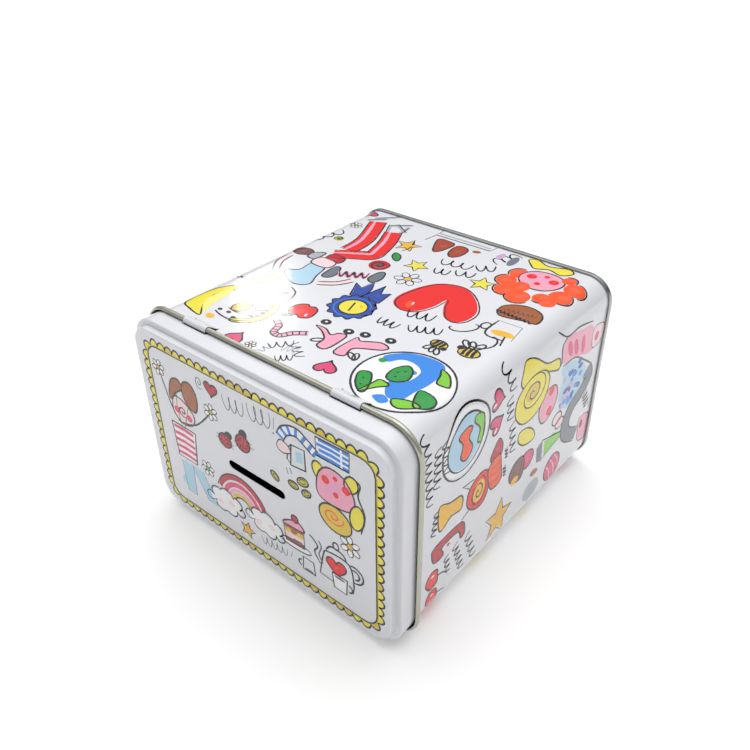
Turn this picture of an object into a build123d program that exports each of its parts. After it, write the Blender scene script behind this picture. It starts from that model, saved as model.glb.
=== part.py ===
"""Tin money box: a printed wall, a seamed base and a stepped, hinged lid.

The box lies on its front wall. +X runs along the lid's long side, +Z towards
the hinge wall, and the lid closes the -Y end. The origin is the centre of the
overall box's lowest face. All sizes are in millimetres.
"""
import os
from math import asin, degrees, sqrt

from build123d import *

# Overall sizes
body_width = 147.0          # across the side walls, outside, along X
body_depth = 102.5          # front wall to hinge wall, outside, along Z
box_height = 159.5          # base seam to the lid's raised top, along Y
corner_radius = 12.0        # outside of the wall's four long corners
sheet = 0.3                 # tinplate

# Lid
skirt_length = 9.0          # ledge to the middle of the edge bead
plateau_rise = 3.1          # ledge to raised top
ledge_width = 2.9           # skirt's outside face to the raised top's wall
lid_clearance = 0.35        # wall to the skirt's inside face
mouth_gap = 0.35            # wall's mouth edge to the ledge's inside face
skirt_edge_radius = 0.6     # skirt into ledge
step_foot_radius = 0.4      # ledge into the raised top's wall
step_top_radius = 0.6       # raised top's wall into its flat
bead_radius = 1.25          # outside of the rolled edge
bead_sweep = 270.0          # degrees of the roll, from the skirt outwards
slot_length = 33.5
slot_width = 4.4

# Hinge: two tongues of the wall roll over the lid's bead
tongue_width = 14.0
tongue_spacing = 83.2       # between the tongues' middles
tongue_root = 5.5           # bead's middle to where a tongue leaves the wall
tongue_end_angle = 250.0    # end of the roll, from +Y over +Z, degrees
hinge_clearance = 0.08      # bead to tongue, radial
slit_width = 0.45           # beside a tongue, in the wall
window_side_gap = 0.45      # beside a tongue, in the skirt
window_end_gap = 0.32       # beyond a tongue's roll, in the skirt

# Base, folded on with a double seam
seam_height = 2.4
countersink = 3.4           # seam's end face to the base panel's outside
layer_gap = 0.02            # between the seam's folded layers
panel_step = 0.8            # stiffening step in the base panel
panel_step_inset = 9.0
seam_edge_radius = 0.25

# Side seam, locked flat on the inside of the left wall
lock_width = 5.0
lock_offset = 26.0          # below the wall's top face
lock_groove = 0.12          # depth of the line it leaves outside
lock_groove_width = 0.35
lock_end_gap = 2.0          # clear of the base's countersunk wall

# Derived places
bead_offset = lid_clearance + bead_radius
skirt_outside = lid_clearance + sheet
wall_bottom = bead_offset + bead_radius
wall_top = wall_bottom + body_depth
wall_middle = (wall_bottom + wall_top) / 2
base_plane = box_height / 2
lid_plane = -box_height / 2
ledge_plane = lid_plane + plateau_rise
bead_plane = ledge_plane + skirt_length
mouth_plane = ledge_plane + sheet + mouth_gap
hinge_height = wall_top + bead_offset
tongue_inside = bead_radius + hinge_clearance
tongue_middle = tongue_inside + sheet / 2
tongue_outside = tongue_inside + sheet
panel_plane = base_plane - countersink
tongue_places = (-tongue_spacing / 2, tongue_spacing / 2)


def across(y):
    """A plane across the box at y, with the wall's middle as its origin."""
    return Plane(origin=(0, y, wall_middle), x_dir=(1, 0, 0), z_dir=(0, 1, 0))


def outline(grow, mode=Mode.ADD):
    """The wall's outside outline, moved outwards by grow."""
    RectangleRounded(
        body_width + 2 * grow, body_depth + 2 * grow, corner_radius + grow, mode=mode
    )


def band(start, end, outside, inside):
    """Add a band between two offsets of the outline, from y = start to end."""
    with BuildSketch(across(start)) as profile:
        outline(outside)
        outline(inside, mode=Mode.SUBTRACT)
    extrude(profile.sketch, amount=end - start)


def block(start, end, outside):
    """Add a solid block inside one offset of the outline."""
    with BuildSketch(across(start)) as profile:
        outline(outside)
    extrude(profile.sketch, amount=end - start)


# Body wrap: one sheet, with the hinge tongues, the seam hook and the lock seam
seam_turn = base_plane - sheet - layer_gap
hook_inside = sheet + 2 * layer_gap
hook_outside = hook_inside + sheet
hook_end = base_plane - seam_height + sheet + 3 * layer_gap

# The tongue's ramp is the crossed tangent of its bend and its roll
bend_radius = bead_offset + sheet / 2
ramp_sine = (bend_radius + tongue_middle) / tongue_root
ramp_angle = degrees(asin(ramp_sine))
ramp_length = tongue_root * sqrt(1 - ramp_sine**2)
tongue_tail = 1.0

with BuildPart() as body_wrap:
    band(mouth_plane, seam_turn, 0, -sheet)
    band(seam_turn - sheet, seam_turn, hook_outside, -sheet)
    band(hook_end, seam_turn, hook_outside, hook_inside)

    # Lock seam: two more layers inside, and a fine groove outside
    lock_height = wall_top - lock_offset - lock_width / 2
    lock_start = mouth_plane + lock_end_gap
    lock_length = panel_plane - lock_end_gap - lock_start
    lock_middle = lock_start + lock_length / 2
    wall_inside = -body_width / 2 + sheet
    with Locations((wall_inside + sheet, lock_middle, lock_height)):
        Box(2 * sheet, lock_length, lock_width)
    groove_length = base_plane - seam_height - mouth_plane
    groove_middle = mouth_plane + groove_length / 2
    groove_height = lock_height + lock_width / 2
    with Locations((-body_width / 2, groove_middle, groove_height)):
        Box(2 * lock_groove, groove_length, lock_groove_width, mode=Mode.SUBTRACT)

    # Relief in the wall's mouth edge, where each tongue is folded out
    relief_length = bead_plane + tongue_root - mouth_plane
    relief_middle = mouth_plane + relief_length / 2
    for place in tongue_places:
        with Locations((place, relief_middle, wall_top)):
            Box(
                tongue_width + 2 * slit_width, relief_length, 4 * sheet,
                mode=Mode.SUBTRACT,
            )

    for place in tongue_places:
        with BuildSketch(Plane.YZ.offset(place)):
            with BuildLine():
                root = (bead_plane + tongue_root, wall_top - sheet / 2)
                tail = Line((root[0] + tongue_tail, root[1]), root)
                bend = JernArc(tail @ 1, tail % 1, bend_radius, -ramp_angle)
                ramp = Line(bend @ 1, bend @ 1 + ramp_length * (bend % 1))
                roll_size = tongue_end_angle - 90 + ramp_angle
                JernArc(ramp @ 1, ramp % 1, tongue_middle, roll_size)
            trace(line_width=sheet)
        extrude(amount=tongue_width / 2, both=True)
body_wrap.part.label = "body_wrap"

# Base plate: countersunk panel and the outer folds of the double seam
chuck_outside = -sheet - layer_gap
chuck_inside = chuck_outside - sheet
seam_inside = hook_outside + layer_gap
seam_outside = seam_inside + sheet
seam_end = base_plane - seam_height
cover_hook_inside = layer_gap
cover_hook_outside = hook_inside - layer_gap
cover_hook_end = seam_turn - sheet - layer_gap

with BuildPart() as base_plate:
    block(panel_plane - sheet, panel_plane, chuck_outside)
    band(panel_plane - sheet, base_plane, chuck_outside, chuck_inside)
    band(base_plane - sheet, base_plane, seam_outside, chuck_inside)
    band(seam_end, base_plane, seam_outside, seam_inside)
    band(seam_end, seam_end + sheet, seam_outside, cover_hook_inside)
    band(seam_end, cover_hook_end, cover_hook_outside, cover_hook_inside)

    # The panel steps outwards inside a wide border
    with BuildSketch(across(panel_plane)) as step:
        outline(-panel_step_inset)
    extrude(step.sketch, amount=panel_step)
    with BuildSketch(across(panel_plane - sheet)) as step_back:
        outline(-panel_step_inset - sheet)
    extrude(step_back.sketch, amount=panel_step, mode=Mode.SUBTRACT)

    rim = base_plate.edges().filter_by_position(Axis.Y, base_plane, base_plane)
    fillet(rim, radius=seam_edge_radius)
base_plate.part.label = "base_plate"

# Lid: one stepped pressing with a coin slot and a rolled edge
step_outside = skirt_outside - ledge_width
bead_width = body_width / 2 + bead_offset
bead_depth = body_depth / 2 + bead_offset
window_width = tongue_width + 2 * window_side_gap
window_reach = tongue_outside + window_end_gap
roll_middle = bead_radius - sheet / 2

with BuildPart() as lid:
    block(ledge_plane, bead_plane, skirt_outside)
    skirt_edge = lid.edges().group_by(Axis.Y)[0]
    fillet(skirt_edge, radius=skirt_edge_radius)
    block(lid_plane, ledge_plane, step_outside)
    fillet(lid.edges().group_by(Axis.Y)[0], radius=step_top_radius)
    foot = [
        edge
        for edge in lid.edges().filter_by_position(Axis.Y, ledge_plane, ledge_plane)
        if abs(edge.center().X) < body_width / 2 + step_outside + sheet / 4
        and abs(edge.center().Z - wall_middle) < body_depth / 2 + step_outside + sheet / 4
    ]
    fillet(foot, radius=step_foot_radius)
    offset(amount=-sheet, openings=lid.faces().sort_by(Axis.Y)[-1])

    # Coin slot, through the middle of the raised top
    with BuildSketch(across(lid_plane)) as slot:
        SlotOverall(slot_length, slot_width)
    extrude(slot.sketch, amount=2 * sheet, mode=Mode.SUBTRACT)

    # Windows in the hinge side of the skirt, for the tongues
    with Locations(*[(x, bead_plane - window_reach / 2, wall_top) for x in tongue_places]):
        Box(window_width, window_reach, 4 * skirt_outside, mode=Mode.SUBTRACT)

    # Rolled edge: the skirt's sheet curls outwards into a hollow bead
    with BuildSketch(Plane.YZ) as roll:
        with BuildLine():
            CenterArc((bead_plane, hinge_height), roll_middle, -90, bead_sweep)
        trace(line_width=sheet)
    with BuildLine(across(bead_plane)) as bead_path:
        FilletPolyline(
            (0, -bead_depth), (bead_width, -bead_depth),
            (bead_width, bead_depth), (0, bead_depth),
            radius=corner_radius + bead_offset,
        )
    half = sweep(roll.sketch, path=bead_path.wire(), mode=Mode.PRIVATE)
    add(half)
    add(mirror(half, about=Plane.YZ, mode=Mode.PRIVATE))
lid.part.label = "lid"

os.makedirs("parts", exist_ok=True)
export_step(body_wrap.part, "parts/body_wrap.step")
export_step(base_plate.part, "parts/base_plate.step")
export_step(lid.part, "parts/lid.step")
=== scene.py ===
"""Tin money box: pressed and printed tinplate on a pale studio floor.

Every sheet is a single surface with the thickness of its tinplate, and the
decoration is a set of thin ink films that follow the sheet they are printed
on. Sizes and drawings are in millimetres; the finished pieces and the studio
are in metres.
"""
from __future__ import annotations

import logging
import math
import random
from dataclasses import dataclass, field
from enum import Enum
from typing import Callable, Iterable, Sequence

import bmesh
import bpy
from mathutils import Matrix, Vector


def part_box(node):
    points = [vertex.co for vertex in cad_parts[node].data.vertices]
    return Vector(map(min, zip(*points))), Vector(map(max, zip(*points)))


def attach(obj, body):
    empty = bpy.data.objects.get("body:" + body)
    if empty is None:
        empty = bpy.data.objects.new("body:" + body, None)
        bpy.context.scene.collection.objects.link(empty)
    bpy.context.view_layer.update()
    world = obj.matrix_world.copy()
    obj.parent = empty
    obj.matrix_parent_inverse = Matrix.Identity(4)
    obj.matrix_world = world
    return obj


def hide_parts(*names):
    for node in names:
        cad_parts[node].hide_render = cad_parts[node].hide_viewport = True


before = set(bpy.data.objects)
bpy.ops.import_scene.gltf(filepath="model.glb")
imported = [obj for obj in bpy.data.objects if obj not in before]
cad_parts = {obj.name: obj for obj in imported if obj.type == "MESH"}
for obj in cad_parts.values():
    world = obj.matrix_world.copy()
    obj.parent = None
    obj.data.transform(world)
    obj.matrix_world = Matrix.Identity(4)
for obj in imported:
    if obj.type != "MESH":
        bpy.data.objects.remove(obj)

LOG = logging.getLogger("tin_money_box")
MM = 0.001
NEAR = 0.01  # points closer than this many millimetres are the same point
PEN = 0.62  # width of the printed line, in millimetres, and its other widths
BROAD = 0.66
FINE = 0.55
THIN = 0.5
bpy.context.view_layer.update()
Point = tuple[float, float]
Colour = tuple[float, float, float]


# ---------------------------------------------------------------- shader graph


class Wire:
    """One output of a shader node, ready for arithmetic."""

    def __init__(self, graph: "Graph", socket: bpy.types.NodeSocket | None) -> None:
        """Keep the socket and the graph that it belongs to."""
        self.graph = graph
        self.socket = socket

    def __add__(self, other: "Wire | float") -> "Wire":
        """Sum of the two."""
        return self.graph.maths("ADD", self, other)

    def __mul__(self, other: "Wire | float") -> "Wire":
        """Product of the two."""
        return self.graph.maths("MULTIPLY", self, other)

    def __sub__(self, other: "Wire | float") -> "Wire":
        """This less the other."""
        return self.graph.maths("SUBTRACT", self, other)

    def __rsub__(self, other: float) -> "Wire":
        """The other less this."""
        return self.graph.maths("SUBTRACT", other, self)

    __radd__ = __add__
    __rmul__ = __mul__


class Graph:
    """A material or a world whose nodes are written as expressions."""

    def __init__(self, holder: bpy.types.Material | bpy.types.World) -> None:
        """Empty the holder's node tree.

        Args:
            holder: The material or world to fill.
        """
        holder.use_nodes = True
        self.holder = holder
        self.tree = holder.node_tree
        self.tree.nodes.clear()

    @classmethod
    def material(cls, name: str) -> "Graph":
        """Start a new material."""
        return cls(bpy.data.materials.new(name))

    def node(
        self,
        kind: str,
        settings: dict[str, object] | None = None,
        inputs: dict[str | int, object] | None = None,
        output: str | int = 0,
    ) -> Wire:
        """Add any node.

        Args:
            kind: The node's Blender type.
            settings: Attributes to set first; "stops" sets a ramp's colours.
            inputs: Values or wires for its sockets.
            output: The socket to return.

        Returns:
            The chosen output.
        """
        made = self.tree.nodes.new(kind)
        for key, value in (settings or {}).items():
            if key == "stops":
                while len(made.color_ramp.elements) < len(value):
                    made.color_ramp.elements.new(0.5)
                for element, (place, colour) in zip(made.color_ramp.elements, value):
                    element.position = place
                    element.color = (*colour, 1.0)
            else:
                setattr(made, key, value)
        for key, value in (inputs or {}).items():
            if isinstance(value, Wire):
                self.tree.links.new(value.socket, made.inputs[key])
            else:
                made.inputs[key].default_value = value
        return Wire(self, made.outputs[output] if made.outputs else None)

    def maths(self, operation: str, first: object, second: object) -> Wire:
        """Add a Math node for an expression.

        Args:
            operation: The node's operation.
            first: A wire or a number.
            second: A wire or a number.

        Returns:
            The node's result.
        """
        return self.node(
            "ShaderNodeMath", {"operation": operation}, {0: first, 1: second}
        )

    def place(self) -> Wire:
        """The point on the object, in metres."""
        return self.node("ShaderNodeTexCoord", output="Object")

    def noise(self, scale: float, detail: float = 2.0, stretch: Sequence[float] = (1, 1, 1)) -> Wire:
        """A noise of 0 to 1 over the object.

        Args:
            scale: Features per metre.
            detail: Octaves.
            stretch: Scale along each axis, for grain.

        Returns:
            The noise's value.
        """
        spread = self.node(
            "ShaderNodeMapping", None, {"Vector": self.place(), "Scale": tuple(stretch)}
        )
        return self.node(
            "ShaderNodeTexNoise", None,
            {"Vector": spread, "Scale": scale, "Detail": detail},
        )

    def mix(self, share: Wire | float, first: object, second: object) -> Wire:
        """Mix two colours by a share.

        Args:
            share: Share of the second colour.
            first: A wire or a colour.
            second: A wire or a colour.

        Returns:
            The mixed colour.
        """
        return self.node(
            "ShaderNodeMix", {"data_type": "RGBA"},
            {0: share, 6: first, 7: second}, output=2,
        )

    def bump(self, height: Wire, distance: float, strength: float = 1.0) -> Wire:
        """A normal from a height, distance metres deep.

        Args:
            height: The height, 0 to 1.
            distance: Depth for a height of 1, in metres.
            strength: Share of the slope that shows.

        Returns:
            The bent normal.
        """
        return self.node(
            "ShaderNodeBump", None,
            {"Height": height, "Distance": distance, "Strength": strength},
        )

    def finish(self, inputs: dict[str, object]) -> bpy.types.Material:
        """Close the graph with one Principled shader.

        Args:
            inputs: Values or wires for the shader's sockets.

        Returns:
            The finished material.
        """
        shader = self.node("ShaderNodeBsdfPrincipled", None, inputs)
        self.node("ShaderNodeOutputMaterial", None, {"Surface": shader})
        return self.holder


def rgba(colour: Colour) -> tuple[float, float, float, float]:
    """The colour with full alpha."""
    return (*colour, 1.0)


def srgb(red: int, green: int, blue: int) -> Colour:
    """A linear colour from a paint chart's 0 to 255 values.

    Args:
        red: Red value.
        green: Green value.
        blue: Blue value.

    Returns:
        The linear colour.
    """
    return tuple(
        (c / 255 / 12.92) if c <= 10 else ((c / 255 + 0.055) / 1.055) ** 2.4
        for c in (red, green, blue)
    )


@dataclass(frozen=True)
class Enamel:
    """White base coat under clear varnish, as rolled onto tinplate."""

    name: str = "white_enamel"
    colour: Colour = srgb(231, 232, 237)
    worn: Colour = srgb(227, 228, 233)
    roughness: float = 0.2
    coat: float = 0.65

    def build(self) -> bpy.types.Material:
        """Make the material.

        Returns:
            The material.
        """
        g = Graph.material(self.name)
        cloud = g.noise(26.0, 3.0)
        peel = g.noise(900.0, 2.0)
        return g.finish({
            "Base Color": g.mix(cloud, rgba(self.colour), rgba(self.worn)),
            "Roughness": self.roughness + (g.noise(140.0, 2.0) - 0.5) * 0.08,
            "Specular IOR Level": 0.2,
            "Coat Weight": self.coat,
            "Coat Roughness": 0.06,
            "Normal": g.bump(peel, 4e-6, 0.35),
        })


@dataclass(frozen=True)
class Metal:
    """Bare or lacquered tinplate, with its rolling grain."""

    name: str
    colour: Colour
    dark: Colour
    roughness: float
    metallic: float = 1.0
    grain: Sequence[float] = (1.0, 12.0, 12.0)

    def build(self) -> bpy.types.Material:
        """Make the material.

        Returns:
            The material.
        """
        g = Graph.material(self.name)
        streak = g.noise(160.0, 3.0, self.grain)
        cloud = g.noise(35.0, 3.0)
        return g.finish({
            "Base Color": g.mix(cloud, rgba(self.colour), rgba(self.dark)),
            "Metallic": self.metallic,
            "Roughness": self.roughness + (streak - 0.5) * 0.16,
            "Normal": g.bump(streak, 3e-6, 0.4),
        })


@dataclass(frozen=True)
class InkFinish:
    """One printing ink under the varnish."""

    name: str
    colour: Colour
    roughness: float = 0.22
    coat: float = 0.5

    def build(self) -> bpy.types.Material:
        """Make the material.

        Returns:
            The material.
        """
        g = Graph.material(self.name)
        peel = g.noise(900.0, 2.0)
        return g.finish({
            "Base Color": rgba(self.colour),
            "Roughness": self.roughness + (g.noise(420.0, 2.0) - 0.5) * 0.1,
            "Specular IOR Level": 0.2,
            "Coat Weight": self.coat,
            "Coat Roughness": 0.06,
            "Normal": g.bump(peel, 4e-6, 0.35),
        })


class Ink(Enum):
    """The printing inks, each with its colour."""

    LINE = srgb(26, 24, 30)
    RED = srgb(240, 14, 10)
    CRIMSON = srgb(194, 8, 38)
    ROSE = srgb(226, 66, 118)
    PINK = srgb(246, 168, 192)
    BLUSH = srgb(250, 218, 222)
    ORANGE = srgb(252, 82, 6)
    AMBER = srgb(244, 186, 24)
    YELLOW = srgb(244, 228, 60)
    LEMON = srgb(250, 240, 130)
    OLIVE = srgb(196, 188, 56)
    GOLD = srgb(228, 196, 62)
    GREEN = srgb(24, 156, 58)
    LEAF = srgb(128, 206, 40)
    BLUE = srgb(48, 138, 232)
    NAVY = srgb(30, 70, 168)
    SKY = srgb(176, 214, 236)
    GREY = srgb(176, 182, 190)
    SLATE = srgb(110, 118, 130)
    BROWN = srgb(168, 88, 24)
    RUST = srgb(176, 58, 20)
    PLUM = srgb(120, 56, 58)
    LILAC = srgb(206, 172, 206)
    WHITE = srgb(246, 246, 248)


Layer = tuple[Ink, bool]


def second_wash(colour: Colour, share: float = 0.16) -> Colour:
    """The colour of an ink where a second wash lies over it."""
    return tuple(c * (1 - share) + share * (0.75 if c > 0.5 else 0.25) for c in colour)


# --------------------------------------------------------------------- outline


def object_from(name: str, bm: bmesh.types.BMesh) -> bpy.types.Object:
    """Put a finished bmesh into the scene as an object.

    Args:
        name: The object's name.
        bm: Its mesh, which is freed here.

    Returns:
        The object.
    """
    data = bpy.data.meshes.new(name)
    bm.to_mesh(data)
    bm.free()
    made = bpy.data.objects.new(name, data)
    bpy.context.scene.collection.objects.link(made)
    return made


@dataclass(frozen=True)
class Station:
    """A place on the wall's outline: point, outward normal and distance along it."""

    x: float
    z: float
    out_x: float
    out_z: float
    run: float

    def at(self, grow: float, y: float) -> Vector:
        """The point grow outside the outline, at height y along the box."""
        return Vector((self.x + grow * self.out_x, y, self.z + grow * self.out_z))


@dataclass(frozen=True)
class Outline:
    """Rounded rectangle round the box, from the middle of the hinge wall to the right.

    The run along it starts at 0 in the middle of the hinge wall and rises
    down the right wall, past the front wall and up the left wall.
    """

    half_x: float
    half_z: float
    radius: float
    middle: float
    steps: int = 18

    @property
    def arc(self) -> float:
        """Length of one corner."""
        return self.radius * math.pi / 2

    @property
    def flat_x(self) -> float:
        """Half the flat length of the hinge wall."""
        return self.half_x - self.radius

    @property
    def flat_z(self) -> float:
        """Half the flat length of a side wall."""
        return self.half_z - self.radius

    @property
    def length(self) -> float:
        """Whole way round."""
        return 4 * (self.flat_x + self.flat_z + self.arc)

    def corners(self) -> list[float]:
        """Runs at which each corner starts.

        Returns:
            Four runs, in order.
        """
        first = self.flat_x
        second = first + self.arc + 2 * self.flat_z
        third = second + self.arc + 2 * self.flat_x
        return [first, second, third, third + self.arc + 2 * self.flat_z]

    def station(self, run: float) -> Station:
        """The place at a run along the outline.

        Args:
            run: Distance from the middle of the hinge wall, any sign.

        Returns:
            The station there.
        """
        whole = run % self.length
        turn, start, x, z = 0.0, 0.0, 0.0, self.half_z
        centres = (
            (self.flat_x, self.flat_z), (self.flat_x, -self.flat_z),
            (-self.flat_x, -self.flat_z), (-self.flat_x, self.flat_z),
        )
        for begin, centre in zip(self.corners(), centres):
            if whole <= begin:
                break
            angle = min((whole - begin) / self.radius, math.pi / 2)
            turn += angle
            start = begin + angle * self.radius
            x = centre[0] + self.radius * math.sin(turn)
            z = centre[1] + self.radius * math.cos(turn)
        along = whole - start
        x += along * math.cos(turn)
        z -= along * math.sin(turn)
        return Station(x, self.middle + z, math.sin(turn), math.cos(turn), run)

    def facet(self, run: float, grow: float, y: float) -> Vector:
        """The point at a run on the sheet's flat facets, grow outside them.

        Args:
            run: Distance from the middle of the hinge wall.
            grow: How far outside the outline.
            y: Height along the box.

        Returns:
            The point.
        """
        pace = self.arc / self.steps
        whole = run % self.length
        for begin in self.corners():
            if begin < whole < begin + self.arc:
                share, count = math.modf((whole - begin) / pace)
                low = self.station(begin + count * pace).at(grow, y)
                return low.lerp(self.station(begin + (count + 1) * pace).at(grow, y), share)
        return self.station(run).at(grow, y)

    def stations(self, extra: Iterable[float] = ()) -> list[Station]:
        """Stations all round, closer together in the corners.

        Args:
            extra: More runs that need a station, such as a window's edges.

        Returns:
            The stations in order.
        """
        runs = {0.0}
        for begin in self.corners():
            runs |= {begin + self.arc * k / self.steps for k in range(self.steps + 1)}
        runs |= {run % self.length for run in extra}
        return [self.station(run) for run in sorted(runs)]


def arc_points(
    centre: Point, radius: float, start: float, end: float, steps: int
) -> list[Point]:
    """Points on an arc, in degrees, ends included."""
    return oval(centre, radius, start=start, end=end, steps=steps)


# ---------------------------------------------------------------------- sheets


@dataclass
class Sizes:
    """Sizes of the pressings, in millimetres, and their places from the frame."""

    corner_radius: float = 12.0
    sheet: float = 0.3
    lid_clearance: float = 0.35
    bead_radius: float = 1.25
    skirt_length: float = 9.0
    plateau_rise: float = 3.1
    ledge_width: float = 2.9
    tongue_width: float = 14.0
    tongue_spacing: float = 83.2
    tongue_root: float = 5.5
    tongue_end: float = 250.0
    seam_gap: float = 0.02
    countersink: float = 3.4
    hinge_clearance: float = 0.08
    slit: float = 0.45
    window_end_gap: float = 0.32
    slot_length: float = 33.5
    slot_width: float = 4.4

    def __post_init__(self) -> None:
        """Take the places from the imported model."""
        lid_low, lid_high = (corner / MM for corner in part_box("lid"))
        base_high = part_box("base_plate")[1] / MM
        self.bead_offset = self.lid_clearance + self.bead_radius
        self.skirt_outside = self.lid_clearance + self.sheet
        self.half_x = lid_high.x - self.bead_offset - self.bead_radius
        self.half_z = (lid_high.z - lid_low.z) / 2 - self.bead_offset - self.bead_radius
        self.middle = (lid_high.z + lid_low.z) / 2
        self.lid_plane = lid_low.y
        self.ledge_plane = self.lid_plane + self.plateau_rise
        self.bead_plane = self.ledge_plane + self.skirt_length
        self.base_plane = base_high.y
        self.hinge_height = self.middle + self.half_z + self.bead_offset
        self.outline = Outline(self.half_x, self.half_z, self.corner_radius, self.middle)

    def tongue_edges(self, gap: float = 0.0) -> list[tuple[float, float]]:
        """Runs of the two tongues' edges, with a gap beside each.

        Args:
            gap: Gap to add beside each tongue.

        Returns:
            Left and right edge of each tongue.
        """
        half = self.tongue_width / 2 + gap
        return [
            (side * self.tongue_spacing / 2 - half, side * self.tongue_spacing / 2 + half)
            for side in (-1, 1)
        ]


@dataclass
class Pressing:
    """A sheet of tinplate, swept round the box's outline and given its thickness."""

    sizes: Sizes
    name: str = "pressing"
    body: str = "box"
    slot: str = "printed_tin"
    nodes: tuple[str, ...] = ()
    materials: tuple[bpy.types.Material, ...] = ()
    extra: tuple[float, ...] = ()
    cut_round: float = 0.06
    sharp_angle: float = 50.0
    mesh: bmesh.types.BMesh = field(default_factory=bmesh.new)

    def sweep(self, profile: Sequence[Point]) -> list[bmesh.types.BMVert]:
        """Sweep a profile of (grow, y) round the outline.

        Args:
            profile: Points from one edge of the sheet to the other.

        Returns:
            The first ring of vertices.
        """
        stations = self.sizes.outline.stations(self.extra)
        first = [self.mesh.verts.new(s.at(*profile[0])) for s in stations]
        ring = first
        edges = [self.mesh.edges.new((a, b)) for a, b in zip(ring, ring[1:] + ring[:1])]
        for grow, y in profile[1:]:
            made = bmesh.ops.extrude_edge_only(self.mesh, edges=edges)["geom"]
            fresh = {
                item.co.to_tuple(4): item
                for item in made if isinstance(item, bmesh.types.BMVert)
            }
            ring = [fresh[vert.co.to_tuple(4)] for vert in ring]
            for vert, station in zip(ring, stations):
                vert.co = station.at(grow, y)
            edges = [
                self.mesh.edges.get((a, b)) for a, b in zip(ring, ring[1:] + ring[:1])
            ]
        return first

    def remove(self, inside: Callable[[Vector], bool]) -> None:
        """Delete the faces whose middle the test accepts."""
        faces = [f for f in self.mesh.faces if inside(f.calc_center_median())]
        bmesh.ops.delete(self.mesh, geom=faces, context="FACES")

    def turn_outwards(self, wanted: Callable[[bmesh.types.BMFace], bool]) -> None:
        """Turn the whole surface if the test says it faces the wrong way.

        Args:
            wanted: Test that is true of a face that looks the right way.
        """
        bmesh.ops.recalc_face_normals(self.mesh, faces=self.mesh.faces)
        self.mesh.faces.ensure_lookup_table()
        votes = sum(1 if wanted(face) else -1 for face in self.mesh.faces)
        if votes < 0:
            bmesh.ops.reverse_faces(self.mesh, faces=self.mesh.faces)

    def finish(self) -> bpy.types.Object:
        """Give the surface its thickness, dress it and hang it on its body.

        Returns:
            The finished piece.
        """
        bmesh.ops.scale(self.mesh, vec=(MM, MM, MM), verts=self.mesh.verts)
        piece = object_from(self.name, self.mesh)
        data = piece.data
        data.shade_smooth()
        for material in self.materials:
            data.materials.append(material)
        shell = piece.modifiers.new("thickness", "SOLIDIFY")
        shell.thickness = self.sizes.sheet * MM
        shell.offset = -1.0
        shell.use_even_offset = True
        shell.material_offset = 1
        shell.material_offset_rim = 2
        round_edge = piece.modifiers.new("edge", "BEVEL")
        round_edge.width = self.cut_round * MM
        round_edge.segments = 1
        round_edge.limit_method = "ANGLE"
        round_edge.angle_limit = math.radians(self.sharp_angle)
        weigh = piece.modifiers.new("normals", "WEIGHTED_NORMAL")
        weigh.keep_sharp = True
        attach(piece, self.body)
        if self.nodes:
            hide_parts(*self.nodes)
        LOG.info("%s: %d faces", self.name, len(data.polygons))
        return piece


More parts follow.
